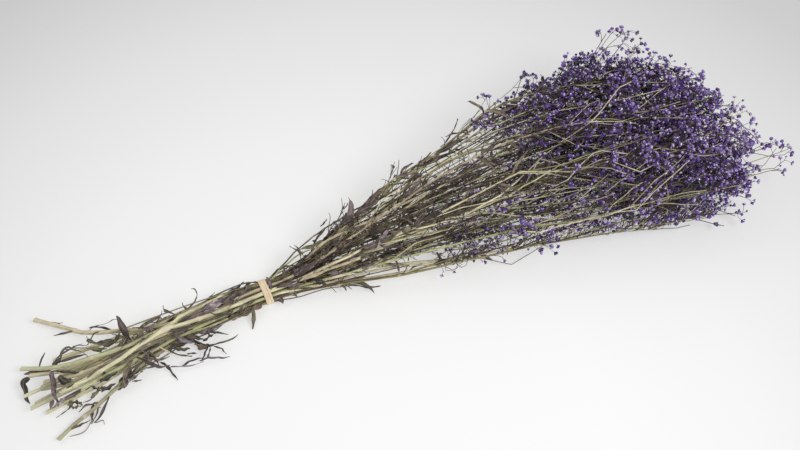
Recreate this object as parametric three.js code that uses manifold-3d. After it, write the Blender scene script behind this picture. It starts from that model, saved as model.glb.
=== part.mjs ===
// A bunch of preserved gypsophila, tied with a rubber band and lying on a table.
//
// Sixteen cut stems run along X: their cut ends point to -X, the band holds them at x = 0, and past it
// they fan out into one flower head. Every stem is one solid with its side branches, leaves and flowers.
// Millimetres, +Z up. The origin is the middle of the band's underside, where the bunch rests.
import * as THREE from 'three';
import { mergeVertices } from 'three/addons/utils/BufferGeometryUtils.js';
import Module from 'manifold-3d';

const wasm = await Module();
wasm.setup();

// The tie: stems packed in a honeycomb inside the band.
const STEM_RADIUS = 2.3; // corner radius of a stem at the tie
const PITCH = 4.4; // distance between neighbouring stems at the tie
const BAND = { width: 6.6, thickness: 1.1, gap: 0.3, chamfer: 0.35 };
const GROOVE = { x: 1.1, half: 0.35, depth: 0.45 }; // between the two turns of the band
const ROW_HEIGHT = PITCH * Math.sin(Math.PI / 3);
const FIRST_ROW = BAND.thickness + BAND.gap + STEM_RADIUS;

// Stems in rows from the table upwards, each row in +Y order. cut is where a stem is cut off, spray is
// where it runs in the head, as [y, z], and bend marks a stem that turns aside only near its cut end.
const ROWS = [
  [
    { cut: [-204, -38, 3.2], spray: [-64, 15] },
    { cut: [-211, -27, 3.2], spray: [-18, 15] },
    { cut: [-203, -12, 3.2], spray: [24, 16] },
    { cut: [-188, 8, 3.4], spray: [62, 17] },
  ],
  [
    { cut: [-200, -63, 3.6], spray: [-76, 40] },
    { cut: [-214, -32, 8.4], spray: [-44, 42] },
    { cut: [-218, -19, 8.4], spray: [-7, 43] },
    { cut: [-209, -2, 8.4], spray: [28, 43] },
    { cut: [-194, 48, 8.0], spray: [70, 44], bend: 6 },
  ],
  [
    { cut: [-192, -38, 13.6], spray: [-68, 66] },
    { cut: [-203, -25, 13.6], spray: [-28, 71] },
    { cut: [-185, -11, 13.6], spray: [13, 72] },
    { cut: [-214, 4, 13.4], spray: [50, 71] },
  ],
  [
    { cut: [-187, -31, 18.8], spray: [-32, 94] },
    { cut: [-198, -18, 18.8], spray: [10, 97] },
    { cut: [-178, -4, 18.6], spray: [48, 95] },
  ],
];

// The fan and the head. The head is a rounded block that lies on the table.
const FAN_LENGTH = 300; // past the tie, where the stems have spread out
const SPLAY = 1.5; // how the stems spread towards their cut ends
const DRIFT = { y: 11, from: 230, slope: -0.16 }; // the head leans to -Y further along
const HEAD = { centre: [349, -1, 50], half: [102, 90, 62], lean: -0.28, power: 2.6 };
const FLOOR = 6.3; // lowest height of a flower's middle
const FLOWERS = 316;
const SPACING = 12.4; // least distance between two flowers' middles
const STRAYS = [
  [364, 90, 93], [380, 80, 92], [376, 62, 104], [446, -30, 62],
  [452, -63, 42], [468, -48, 44], [484, -55, 40], [472, -66, 30],
  [224, -32, 7], [241, -37, 7], [256, -40, 12], [272, -34, 20],
  [247, 87, 60], [236, 78, 48], [210, 68, 46], [281, 88, 72],
  [420, -86, 10], [430, -76, 22], [404, -88, 12], [437, -66, 12],
];

// Thickness of the parts of a stem, as corner radii.
const CUT_RADIUS = 2.4;
const TIP_RADIUS = 0.85;
const BRANCH_RADIUS = 0.95;
const TWIG_RADIUS = 0.55;
const FLOWER = { radius: 6, front: 2.4, neck: 3.8 };
const LEAF = { length: 28, halfWidth: 3.1, thick: 0.75, fold: 0.35 };
const CLEARANCE = 0.45; // kept between two stems wherever they pass

// Angles between a side branch or a twig and what it grows from, the first choice first.
const LONG_BRANCH_RISES = [0.2, 0.3, 0.44, 0.6];
const BRANCH_RISES = [0.44, 0.34, 0.56, 0.7];
const TWIG_RISES = [0.62, 0.5, 0.76, 0.4, 0.95];
const BRANCH_FLOWERS = 5; // flowers for each side branch
const NUDGES = [[0, 0, 0], [0, 4, 0], [0, -4, 0], [0, 0, 4], [0, 0, -4], [6, 0, 0], [-6, 0, 0]];

// Where leaves grow along the bunch, by x, and leaves that stand out of it. These grow from
// the stem nearest to their tip, as [x of their root, x, y and z of their tip].
const LEAF_NODES = [-188, -165, -142, -118, -92, -64, -36, 24, 46, 68, 92, 118, 146, 176];
const LEAVES_PER_NODE = 4;
const OUTER_LEAVES = [
  [-62, -50, 12, 36], [-120, -124, 10, 35], [-26, -18, -26, 5], [-76, -52, -44, 4], [-92, -74, -48, 4],
  [-112, -94, -46, 4], [-150, -166, -68, 4], [-192, -216, -23, 4], [-158, -180, -42, 5],
  [16, 36, 25, 26], [48, 69, 38, 30], [96, 116, -23, 5], [130, 152, 54, 36], [168, 190, -42, 5],
  [124, 146, -27, 6], [-40, -22, 22, 30], [-130, -150, 26, 8],
];

// The same number between 0 and 1 for the same whole-number keys.
function chance(...keys) {
  let h = 0x2f6e2b1;
  for (const key of keys) {
    h = Math.imul(h ^ (key + 0x9e3779b9), 0x85ebca6b);
    h ^= h >>> 13;
    h = Math.imul(h, 0xc2b2ae35);
    h ^= h >>> 16;
  }
  return (h >>> 0) / 4294967296;
}

const vector = (x, y, z) => new THREE.Vector3(x, y, z);
const mix = THREE.MathUtils.lerp;

const stems = ROWS.flatMap((row, r) => row.map((stem, c) => ({
  ...stem,
  tie: [(c - (row.length - 1) / 2) * PITCH, FIRST_ROW + r * ROW_HEIGHT],
}))).map((stem, index) => ({ ...stem, index, pieces: [] }));

// How far the stems have spread at x: not at all in the band, then steadily, and fully in the head.
function spreadAt(x) {
  const soft = 0.12;
  const u = Math.min(Math.max(x - BAND.width, 0) / (FAN_LENGTH - BAND.width), 1);
  const t = (Math.hypot(u, soft) - soft) / (Math.hypot(1, soft) - soft);
  return 1.5 * t - 0.5 * t ** 3;
}

// The middle line of a stem at x.
function stemPoint(stem, x) {
  const [y, z] = stem.tie;
  if (x < 0) {
    const share = Math.pow(x / stem.cut[0], stem.bend ?? SPLAY);
    return vector(x, mix(y, stem.cut[1], share), mix(z, stem.cut[2], share));
  }
  const share = spreadAt(x);
  const drift = DRIFT.y * share + DRIFT.slope * Math.max(x - DRIFT.from, 0);
  const sway = 2 * share * Math.sin(x / 38 + 6.3 * chance(stem.index, 1));
  const nod = 2 * share * Math.cos(x / 44 + 6.3 * chance(stem.index, 2));
  return vector(x, mix(y, stem.spray[0], share) + drift + sway, mix(z, stem.spray[1], share) + nod);
}

// The corner radius of a stem at x.
function stemRadius(stem, x) {
  if (x < 0) return mix(STEM_RADIUS, CUT_RADIUS, x / stem.cut[0]);
  return mix(STEM_RADIUS, TIP_RADIUS, Math.min(Math.max(x - 5, 0) / 400, 1));
}

// Whether a point is inside the head.
function isInHead(point) {
  const [cx, cy, cz] = HEAD.centre;
  const [hx, hy, hz] = HEAD.half;
  const along = (point.x - cx - HEAD.lean * (point.y - cy)) / hx;
  const parts = [along, (point.y - cy) / hy, (point.z - cz) / hz];
  return parts.reduce((sum, part) => sum + Math.abs(part) ** HEAD.power, 0) < 1;
}

// Closed skin over rings of points that all run the same way round. A ring may have any number of
// points, and an end may be a single point.
function loft(rings) {
  const faces = [];
  let start = 0;
  for (let r = 0; r + 1 < rings.length; r += 1) {
    const [n, m] = [rings[r].length, rings[r + 1].length];
    const next = start + n;
    let [i, j] = [n > 1 ? 0 : n, m > 1 ? 0 : m];
    while (i < n || j < m) {
      if (j >= m || (i < n && (i + 0.5) / n <= (j + 0.5) / m)) {
        faces.push(start + (i % n), start + ((i + 1) % n), next + (j % m));
        i += 1;
      } else {
        faces.push(start + (i % n), next + ((j + 1) % m), next + (j % m));
        j += 1;
      }
    }
    start = next;
  }
  for (let k = 1; k + 1 < rings[0].length; k += 1) faces.push(0, k + 1, k);
  for (let k = 1; k + 1 < rings.at(-1).length; k += 1) faces.push(start, start + k, start + k + 1);
  return skin(rings.flat(), faces);
}

function skin(points, faces) {
  const geometry = new THREE.BufferGeometry();
  geometry.setAttribute('position', new THREE.Float32BufferAttribute(points.flatMap((p) => p.toArray()), 3));
  geometry.setIndex(faces);
  return geometry;
}

// A ring of points round a middle, square to a direction. The first point is the topmost.
function ring(middle, direction, radius, sides) {
  const side = vector(0, 0, 1).cross(direction).normalize();
  const up = direction.clone().cross(side).normalize();
  return Array.from({ length: sides }, (_, k) => {
    const angle = Math.PI / 2 + (2 * Math.PI * k) / sides;
    return middle.clone()
      .addScaledVector(side, radius * Math.cos(angle))
      .addScaledVector(up, radius * Math.sin(angle));
  });
}

// A stalk along points, with a radius at each, that opens into a five-sided flower at its end.
function flowerStalk(way, radii, flower, sides) {
  const facing = flower.clone().sub(way.at(-1)).normalize();
  const rings = way.map((point, k) => {
    const direction = (way[k + 1] ?? flower).clone().sub(way[Math.max(k - 1, 0)]).normalize();
    return ring(point, direction, radii[k], sides);
  });
  const neck = flower.clone().addScaledVector(facing, -FLOWER.neck);
  const front = flower.clone().addScaledVector(facing, FLOWER.front);
  return loft([
    ...rings,
    ring(neck, facing, radii.at(-1), sides),
    ring(flower, facing, FLOWER.radius, 5),
    [front],
  ]);
}

// A lance-shaped leaf along a line, folded along its rib and facing one way.
function leafBlade(line, facing) {
  const last = line.length - 1;
  return loft(line.map((point, k) => {
    if (k === 0 || k === last) return [point];
    const direction = line[k + 1].clone().sub(line[k - 1]).normalize();
    const side = facing.clone().cross(direction).normalize();
    const up = direction.clone().cross(side);
    const half = LEAF.halfWidth * Math.sin((Math.PI * k) / last);
    return [[0, LEAF.thick / 2], [-half, half * LEAF.fold], [0, -LEAF.thick / 2], [half, half * LEAF.fold]]
      .map(([across, lift]) => point.clone().addScaledVector(side, across).addScaledVector(up, lift));
  }));
}

// What is already placed, as round-ended rods. The name of a piece starts with its stem's number.
const placed = [];
const pieceName = (stem, ...rest) => [String(stem.index).padStart(2, '0'), ...rest].join('-');

// The distance between the middle lines of two rods.
function rodDistance(a, b) {
  const [u, v] = [a.to.clone().sub(a.from), b.to.clone().sub(b.from)];
  const w = a.from.clone().sub(b.from);
  const [uu, uv, vv, uw, vw] = [u.dot(u), u.dot(v), v.dot(v), u.dot(w), v.dot(w)];
  const det = uu * vv - uv * uv;
  const clamp = (value) => Math.min(Math.max(value, 0), 1);
  let s = det > 1e-9 ? clamp((uv * vw - vv * uw) / det) : 0;
  const t = clamp(vv > 0 ? (uv * s + vw) / vv : 0);
  s = clamp(uu > 0 ? (uv * t - uw) / uu : 0);
  return w.addScaledVector(u, s).addScaledVector(v, -t).length();
}

const isNear = (a, b, gap) => rodDistance(a, b) < a.radius + b.radius + gap;

// Places a piece that grows from a parent, if its rods are clear of every other stem. Past their root
// they are also clear of the pieces of their own stem.
function place(piece, parent, rods) {
  const [first, ...rest] = rods;
  const beyond = [{ ...first, from: first.from.clone().lerp(first.to, 0.4) }];
  const collides = placed.some((other) => {
    if (!other.piece.startsWith(piece.slice(0, 2))) return rods.some((rod) => isNear(rod, other, CLEARANCE));
    const free = other.piece === parent ? rest : [...beyond, ...rest];
    return free.some((rod) => isNear(rod, other, 0.1));
  });
  if (!collides) placed.push(...rods.map((rod) => ({ ...rod, piece })));
  return !collides;
}

const rodsAlong = (points, radius) => points.slice(1).map((to, k) => ({ from: points[k], to, radius }));
const flowerRoom = (flower) => ({ from: flower, to: flower, radius: FLOWER.radius });

// The last point of a parent's line from which a straight line to the target rises no more than an
// angle.
function rootOn(line, target, rise) {
  let root = line[0];
  for (let k = 0; k + 1 < line.length; k += 1) {
    const direction = line[k + 1].clone().sub(line[k]);
    if (direction.angleTo(target.clone().sub(line[k])) > rise) break;
    root = line[k];
  }
  return root;
}

// Lines that branches and twigs can grow from, in short steps along the middle of what is there.
const parents = [];
const divided = (points, steps) => points.slice(1).flatMap((to, k) => (
  Array.from({ length: steps }, (_, i) => points[k].clone().lerp(to, i / steps))));

// The stems themselves, from the cut end to a flower near the far side of the head.
function growStem(stem) {
  let end = FAN_LENGTH;
  while (end < 430 && isInHead(stemPoint(stem, end + 16))) end += 4;
  const bends = stem.bend ? [0.86, 0.7, 0.5] : [0.65, 0.3];
  const xs = [stem.cut[0], ...bends.map((share) => share * stem.cut[0]), -8, 8, 40, 80, 120, 165, 210, 260,
    mix(260, end, 0.5), end];
  const points = xs.map((x) => stemPoint(stem, x));
  const radii = xs.map((x) => stemRadius(stem, x));
  const tip = stemPoint(stem, end + 8);
  const piece = pieceName(stem, 'axis');
  rodsAlong([...points, tip], 0).forEach((rod, k) => placed.push({ ...rod, radius: radii[k], piece }));
  placed.push({ ...flowerRoom(tip), piece });
  stem.pieces.push(flowerStalk(points, radii, tip, 6));
  stem.tip = tip;
  parents.push({ stem, piece, line: divided(points, 8).filter((p) => p.x > 45) });
}

// Evenly spread flowers in the head, after the stray ones: a low-discrepancy sequence, without the
// points that fall too close to an earlier one.
function flowerPoints() {
  const step = 1.2207440846057596;
  const taken = stems.map((stem) => stem.tip);
  const found = STRAYS.map((p) => vector(...p));
  for (let n = 1; found.length < FLOWERS; n += 1) {
    const [u, v, w] = [1, 2, 3].map((k) => (0.5 + n / step ** k) % 1);
    const point = vector(
      HEAD.centre[0] + HEAD.half[0] * (2.6 * u - 1.3),
      HEAD.centre[1] + HEAD.half[1] * (2 * v - 1),
      mix(FLOOR, HEAD.centre[2] + HEAD.half[2], w),
    );
    const isApart = [...taken, ...found].every((p) => p.distanceTo(point) > SPACING);
    if (isApart && isInHead(point)) found.push(point);
  }
  return found;
}

// How far a point lies beside a stem.
function beside(stem, point) {
  const at = stemPoint(stem, Math.min(point.x, stem.tip.x));
  return Math.hypot(at.y - point.y, at.z - point.z);
}

// The flowers nearest to each stem, in groups by the side of the stem that they stand on.
function flowerGroups(stem, flowers) {
  const side = (p) => {
    const at = stemPoint(stem, Math.min(p.x, stem.tip.x));
    return Math.atan2(p.z - at.z, p.y - at.y);
  };
  const own = flowers.filter((p) => stems.every((other) => beside(other, p) >= beside(stem, p)));
  own.sort((p, q) => side(p) - side(q));
  const groups = [];
  for (let k = 0; k < own.length; k += BRANCH_FLOWERS) groups.push(own.slice(k, k + BRANCH_FLOWERS));
  return groups;
}

// A side branch: it leaves its stem, then swings round to run along with it, up to its own flower.
function growBranch(stem, number, flower) {
  const piece = pieceName(stem, 'branch', number);
  const [axis] = parents.filter((parent) => parent.stem === stem);
  return (number % 2 ? BRANCH_RISES : LONG_BRANCH_RISES).some((rise) => {
    const root = rootOn(axis.line, flower, rise);
    const reach = flower.clone().sub(root);
    const bow = vector(0, reach.y, reach.z).multiplyScalar(0.2);
    const middle = root.clone().addScaledVector(reach, 0.5).add(bow);
    const way = new THREE.QuadraticBezierCurve3(root, middle, flower).getPoints(3);
    if (!place(piece, axis.piece, [...rodsAlong(way, BRANCH_RADIUS), flowerRoom(flower)])) return false;
    const radii = [1, 0.8, 0.65].map((share) => share * BRANCH_RADIUS);
    stem.pieces.push(flowerStalk(way.slice(0, 3), radii, flower, 3));
    parents.push({ stem, piece, line: divided(way, 8) });
    return true;
  });
}

// A twig with a flower, from whichever line is nearest and leaves it room.
function growTwig(number, flower) {
  const reach = ({ line }) => Math.min(...line.map((p) => p.distanceTo(flower)));
  const near = parents.map((parent) => ({ ...parent, away: reach(parent) }));
  near.sort((a, b) => a.away - b.away);
  return NUDGES.some((nudge) => near.slice(0, 6).some(({ stem, piece, line }) => TWIG_RISES.some((rise) => {
    const end = flower.clone().add(vector(...nudge));
    const root = rootOn(line, end, rise);
    const rods = [{ from: root, to: end, radius: TWIG_RADIUS }, flowerRoom(end)];
    if (end.z < FLOOR || !place(pieceName(stem, 'twig', number), piece, rods)) return false;
    stem.pieces.push(flowerStalk([root], [TWIG_RADIUS], end, 3));
    return true;
  })));
}

// A leaf from a stem at x to a tip, arched to one side.
function growLeaf(stem, number, x, tip, arch) {
  const root = stemPoint(stem, x);
  const middle = root.clone().lerp(tip, 0.5).add(arch);
  const line = new THREE.QuadraticBezierCurve3(root, middle, tip).getPoints(4);
  const rods = rodsAlong([line[0], line[2], line[3], line[4]], LEAF.halfWidth * 0.85);
  const low = Math.min(...line.slice(1).map((p) => p.z));
  if (x < stem.cut[0] + 5 || low < LEAF.halfWidth * 0.8) return false;
  if (!place(pieceName(stem, 'leaf', number), pieceName(stem, 'axis'), rods)) return false;
  stem.pieces.push(leafBlade(line, arch.clone().normalize()));
  return true;
}

function growOuterLeaf([x, ...tipAt], number) {
  const tip = vector(...tipAt);
  const outward = vector(0, tip.y, tip.z - 9).normalize();
  const away = (stem) => stemPoint(stem, x).distanceTo(tip);
  const nearest = [...stems].sort((a, b) => away(a) - away(b)).slice(0, 4);
  return nearest.some((stem) => [5, -4, 2].some((height) => {
    const arch = outward.clone().multiplyScalar(height).add(vector(0, 0, 2));
    return growLeaf(stem, 100 + number, x, tip, arch);
  }));
}

// Leaves round one node of the bunch, on the stems that have room for one there.
function growLeaves(x, node) {
  let grown = 0;
  for (let key = 0; key < 160 && grown < LEAVES_PER_NODE; key += 1) {
    const stem = stems[Math.floor(chance(node, key, 3) * stems.length)];
    const turn = 2 * Math.PI * chance(node, key, 4);
    const outward = vector(0, Math.cos(turn), Math.sin(turn));
    const forward = x < 0 && chance(node, key, 5) < 0.4 ? -1 : 1;
    const length = LEAF.length * (0.65 + 0.7 * chance(node, key, 6));
    const lift = 0.22 + 0.5 * chance(node, key, 7);
    const tip = stemPoint(stem, x)
      .add(vector(forward * length * Math.cos(lift), 0, 0))
      .addScaledVector(outward, length * Math.sin(lift));
    const arch = outward.clone().multiplyScalar(length * (0.26 - 0.4 * chance(node, key, 8)));
    if (growLeaf(stem, node * LEAVES_PER_NODE + grown, x, tip, arch)) grown += 1;
  }
}

// The convex outline round a set of points in the plane.
function hull(points) {
  const half = (list) => {
    const out = [];
    for (const p of list) {
      while (out.length > 1) {
        const [[ax, ay], [bx, by]] = out.slice(-2);
        if ((bx - ax) * (p[1] - ay) - (by - ay) * (p[0] - ax) > 1e-6) break;
        out.pop();
      }
      out.push(p);
    }
    return out.slice(0, -1);
  };
  const sorted = [...points].sort((p, q) => p[0] - q[0] || p[1] - q[1]);
  return [...half(sorted), ...half(sorted.reverse())];
}

// The outline of the packed stems at a distance from their middle lines, in the plane x = along.
function packOutline(along, distance) {
  const steps = Array.from({ length: 24 }, (_, k) => (2 * Math.PI * k) / 24);
  const points = stems.flatMap(({ tie: [y, z] }) => steps.map((angle) => (
    [y + distance * Math.cos(angle), z + distance * Math.sin(angle)])));
  return hull(points).map(([y, z]) => vector(along, y, z));
}

// The band: two turns of flat rubber side by side, closely round the packed stems.
function bandGeometry() {
  const inner = STEM_RADIUS + BAND.gap;
  const outer = inner + BAND.thickness;
  const edge = BAND.width / 2;
  const profile = [
    [-edge, inner], [-edge, outer - BAND.chamfer], [-edge + BAND.chamfer, outer],
    [GROOVE.x - GROOVE.half, outer], [GROOVE.x, outer - GROOVE.depth], [GROOVE.x + GROOVE.half, outer],
    [edge - BAND.chamfer, outer], [edge, outer - BAND.chamfer], [edge, inner],
  ];
  const rings = profile.map(([along, distance]) => packOutline(along, distance));
  const n = rings[0].length;
  const faces = rings.flatMap((_, r) => Array.from({ length: n }, (__, k) => {
    const [low, high] = [r * n, ((r + 1) % rings.length) * n];
    const next = (k + 1) % n;
    return [low + k, low + next, high + next, low + k, high + next, high + k];
  }).flat());
  return skin(rings.flat(), faces);
}

// A closed geometry as a solid for joining.
function solid(geometry) {
  const merged = mergeVertices(geometry, 1e-5);
  return new wasm.Manifold(new wasm.Mesh({
    numProp: 3,
    vertProperties: merged.attributes.position.array,
    triVerts: new Uint32Array(merged.index.array),
  }));
}

// The joined pieces as one geometry, without any closed bubble between them.
function join(pieces) {
  const bodies = wasm.Manifold.union(pieces.map(solid)).decompose();
  const mesh = bodies.reduce((a, b) => (b.volume() > a.volume() ? b : a)).getMesh();
  const geometry = new THREE.BufferGeometry();
  geometry.setAttribute('position', new THREE.BufferAttribute(mesh.vertProperties, 3));
  geometry.setIndex(new THREE.BufferAttribute(mesh.triVerts, 1));
  return geometry;
}

stems.forEach(growStem);
const loose = [];
const flowers = flowerPoints();
for (const stem of stems) {
  flowerGroups(stem, flowers).forEach((group, number) => {
    group.sort((p, q) => q.x - p.x);
    const [farthest, ...others] = group;
    loose.push(...(growBranch(stem, number, farthest) ? others : group));
  });
}
OUTER_LEAVES.forEach(growOuterLeaf);
LEAF_NODES.forEach(growLeaves);
loose.forEach((flower, number) => growTwig(number, flower));

const bunch = new THREE.Group();

const stemMaterial = new THREE.MeshStandardMaterial({ color: 0x8d8a55, roughness: 0.7, metalness: 0 });
for (const stem of stems) {
  const mesh = new THREE.Mesh(join(stem.pieces), stemMaterial.clone());
  mesh.geometry.computeVertexNormals();
  mesh.name = `stem_${String(stem.index + 1).padStart(2, '0')}`;
  bunch.add(mesh);
}

const bandMaterial = new THREE.MeshStandardMaterial({ color: 0xe2c9a0, roughness: 0.6, metalness: 0 });
const band = new THREE.Mesh(bandGeometry(), bandMaterial);
band.geometry.computeVertexNormals();
band.name = 'rubber_band';
bunch.add(band);

export default bunch;
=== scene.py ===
"""A bunch of preserved gypsophila, dyed violet, that lies on a table.

The bunch grows here by the same rules as its solids, in millimetres, and every solid stem is replaced by
its stalks, its leaves and its flowers. Sizes are scaled to metres when a piece is made.
"""

import math

import bpy
import numpy as np
from mathutils import Matrix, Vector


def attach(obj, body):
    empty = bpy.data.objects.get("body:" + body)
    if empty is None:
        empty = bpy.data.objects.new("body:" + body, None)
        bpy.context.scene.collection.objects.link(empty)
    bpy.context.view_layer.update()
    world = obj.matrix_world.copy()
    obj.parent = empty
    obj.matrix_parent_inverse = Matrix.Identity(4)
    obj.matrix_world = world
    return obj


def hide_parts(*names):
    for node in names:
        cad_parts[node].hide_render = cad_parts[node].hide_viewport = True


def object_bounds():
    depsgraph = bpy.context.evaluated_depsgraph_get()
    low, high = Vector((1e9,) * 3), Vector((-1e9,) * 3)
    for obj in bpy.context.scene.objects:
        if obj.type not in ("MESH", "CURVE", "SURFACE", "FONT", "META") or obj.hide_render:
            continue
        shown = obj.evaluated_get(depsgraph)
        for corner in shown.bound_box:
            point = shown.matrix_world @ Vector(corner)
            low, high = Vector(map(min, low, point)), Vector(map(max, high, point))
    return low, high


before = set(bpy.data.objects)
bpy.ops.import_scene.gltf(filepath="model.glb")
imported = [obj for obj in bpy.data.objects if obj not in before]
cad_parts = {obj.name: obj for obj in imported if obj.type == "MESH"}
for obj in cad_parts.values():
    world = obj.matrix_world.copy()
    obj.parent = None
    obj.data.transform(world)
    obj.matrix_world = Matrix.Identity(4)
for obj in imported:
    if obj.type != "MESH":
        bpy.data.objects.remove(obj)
CAD_BOX = np.array([list(corner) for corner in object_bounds()]) * 1000

# The tie, the stems and the head, as in the solids.
STEM_RADIUS = 2.3
PITCH = 4.4
BAND_WIDTH = 6.6
BAND_THICKNESS = 1.1
BAND_GAP = 0.3
ROW_HEIGHT = PITCH * math.sin(math.pi / 3)
FIRST_ROW = BAND_THICKNESS + BAND_GAP + STEM_RADIUS
ROWS = [
    [
        ((-204, -38, 3.2), (-64, 15), None),
        ((-211, -27, 3.2), (-18, 15), None),
        ((-203, -12, 3.2), (24, 16), None),
        ((-188, 8, 3.4), (62, 17), None),
    ],
    [
        ((-200, -63, 3.6), (-76, 40), None),
        ((-214, -32, 8.4), (-44, 42), None),
        ((-218, -19, 8.4), (-7, 43), None),
        ((-209, -2, 8.4), (28, 43), None),
        ((-194, 48, 8.0), (70, 44), 6),
    ],
    [
        ((-192, -38, 13.6), (-68, 66), None),
        ((-203, -25, 13.6), (-28, 71), None),
        ((-185, -11, 13.6), (13, 72), None),
        ((-214, 4, 13.4), (50, 71), None),
    ],
    [
        ((-187, -31, 18.8), (-32, 94), None),
        ((-198, -18, 18.8), (10, 97), None),
        ((-178, -4, 18.6), (48, 95), None),
    ],
]
FAN_LENGTH = 300
SPLAY = 1.5
DRIFT = (11, 230, -0.16)
HEAD_CENTRE = np.array([349, -1, 50.0])
HEAD_HALF = np.array([102, 90, 62.0])
HEAD_LEAN = -0.28
HEAD_POWER = 2.6
FLOOR = 6.3
FLOWERS = 316
SPACING = 12.4
STRAYS = [
    (364, 90, 93), (380, 80, 92), (376, 62, 104), (446, -30, 62),
    (452, -63, 42), (468, -48, 44), (484, -55, 40), (472, -66, 30),
    (224, -32, 7), (241, -37, 7), (256, -40, 12), (272, -34, 20),
    (247, 87, 60), (236, 78, 48), (210, 68, 46), (281, 88, 72),
    (420, -86, 10), (430, -76, 22), (404, -88, 12), (437, -66, 12),
]
CUT_RADIUS = 2.4
TIP_RADIUS = 0.85
BRANCH_RADIUS = 0.95
TWIG_RADIUS = 0.55
FLOWER_RADIUS = 6
LEAF_LENGTH = 28
LEAF_HALF = 3.1
CLEARANCE = 0.45
LONG_BRANCH_RISES = (0.2, 0.3, 0.44, 0.6)
BRANCH_RISES = (0.44, 0.34, 0.56, 0.7)
TWIG_RISES = (0.62, 0.5, 0.76, 0.4, 0.95)
BRANCH_FLOWERS = 5
NUDGES = [(0, 0, 0), (0, 4, 0), (0, -4, 0), (0, 0, 4), (0, 0, -4), (6, 0, 0), (-6, 0, 0)]
LEAF_NODES = [-188, -165, -142, -118, -92, -64, -36, 24, 46, 68, 92, 118, 146, 176]
LEAVES_PER_NODE = 4
OUTER_LEAVES = [
    (-62, -50, 12, 36), (-120, -124, 10, 35), (-26, -18, -26, 5), (-76, -52, -44, 4), (-92, -74, -48, 4),
    (-112, -94, -46, 4), (-150, -166, -68, 4), (-192, -216, -23, 4), (-158, -180, -42, 5),
    (16, 36, 25, 26), (48, 69, 38, 30), (96, 116, -23, 5), (130, 152, 54, 36), (168, 190, -42, 5),
    (124, 146, -27, 6), (-40, -22, 22, 30), (-130, -150, 26, 8),
]

# What the solids leave out: the real flowers, which are small and many, thin twigs, and most leaves.
CLUSTER_SIZE = 6.8  # how far the flowers of a cluster stand round its middle
CLUSTER_FLOWERS = 18
EXTRA_BRANCHES = 6  # long thin branches added to each stem
SHOOTS = 5  # short leafy side shoots added to each stem
FUZZ = 64  # curly dark dry bits added to each stem in the fan, their darkness partly painted shade between the stalks
FILL_TWIGS = 150  # fine near-black twigs added to each stem inside the head, their darkness partly painted shade
SPRAYS = 90  # forked thin stalks just inside the surface of the head
SLIMNESS = 0.74  # a real stem beside its solid, at the tie
OUTSIDE_LEAVES = 130
INSIDE_LEAVES = 230
TOP_STEM = 13  # the stem on top, with a wide pale joint where it forks
TOP_JOINT = -89
STEM_KINDS = (0, 2, 1, 0, 3, 1, 0, 2, 2, 1, 3, 0, 1, 0, 2, 3)
# Colours 5 and 6 are near black, darker than dry twigs are: partly painted shade, for the fine twigs inside
# the head and the bits of the fan.
STALK_COLOURS = [
    (0.64, 0.59, 0.37), (0.44, 0.46, 0.22), (0.54, 0.45, 0.3), (0.25, 0.22, 0.1),
    (0.105, 0.08, 0.055), (0.036, 0.027, 0.022), (0.044, 0.03, 0.034), (0.8, 0.73, 0.52),
]
LEAF_COLOURS = [
    (0.15, 0.112, 0.135), (0.085, 0.08, 0.045), (0.14, 0.108, 0.08), (0.035, 0.036, 0.028),
    (0.17, 0.17, 0.085), (0.18, 0.1, 0.105), (0.3, 0.245, 0.27), (0.08, 0.058, 0.058),
]
LEAF_SHARES = [0.18, 0.22, 0.17, 0.1, 0.08, 0.04, 0.03, 0.18]
LOW_LEAF_SHARES = [0.1, 0.28, 0.15, 0.12, 0.2, 0.03, 0.02, 0.1]
PETAL_COLOURS = [
    (0.036, 0.019, 0.066), (0.054, 0.024, 0.115), (0.073, 0.032, 0.17), (0.095, 0.037, 0.24),
    (0.127, 0.048, 0.34), (0.18, 0.072, 0.46), (0.245, 0.12, 0.51), (0.37, 0.255, 0.57),
]
PEDICEL_RADII = (0.16, 0.14)
LEAF_THICKNESS = 0.3
TONE_SPAN = 0.9  # a tone is the number of a colour, plus at most this for the place on the piece
CALYX_TONE = 0.7
# The two turns of the band: where each begins and ends along X, and a number that shifts its waves.
BAND_TURNS = ((-3.27, 1.02, 1), (1.16, 3.27, 2))
# Colours that pieces draw from, by their numbers: one that stands there twice is drawn twice as often.
COMPANION_KINDS = [0, 1, 2, 3, 4, 5, 6, 6]
FILL_KINDS = [4, 5, 5, 6, 6]
FUZZ_KINDS = [4, 5, 6]
BRANCH_KINDS = [0, 1, 2, 3, 4, 5, 3, 6, 4, 7]
TWIG_KINDS = [0, 4, 4, 5, 6, 6, 5, 7]
BRANCHLET_KINDS = [4, 5, 6, 6]
SMALL_LEAF_KINDS = [1, 2, 3, 7]
LEAFLET_KINDS = [1, 2, 3, 5, 7]
# The first seed of each kind of piece.
SEEDS = {
    "whole stem": 70, "stem line": 100, "companion": 600, "solid leaf": 3000, "seen leaf": 4000,
    "loose leaves": 5000, "shoots": 6000, "extra branches": 7000, "fill": 7500, "fuzz": 7600,
    "sprays": 7700, "branch line": 8000, "twig line": 9000, "seen stalk": 9500, "seen flowers": 9900,
}

# The view and the studio. The floor carries a painted pool of light, whose brightness at each of the
# distances below is given from its brightest place; the distances are in millimetres as well.
CAMERA_PLACE = (-0.05181, -0.44778, 0.87842)
CAMERA_TURN = -21.75
CAMERA_TILT = 60
FLOOR_REACH = 800
FLOOR_BRIGHTEST = (35, -166)
FLOOR_TONE = 0.93
FLOOR_PAINTED_LIGHT = [
    (800, 0.56), (610, 0.65), (566, 0.7), (460, 0.82), (370, 0.89), (320, 0.93), (200, 0.985), (0, 1.0),
]
FLOOR_SHARE = 0.5  # how much of the floor's brightness comes from the lamps, rather than from its own glow, which is painted light
SKY_COLOUR = (1, 0.998, 0.992, 1)
SKY_STRENGTH = 0.62
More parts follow.
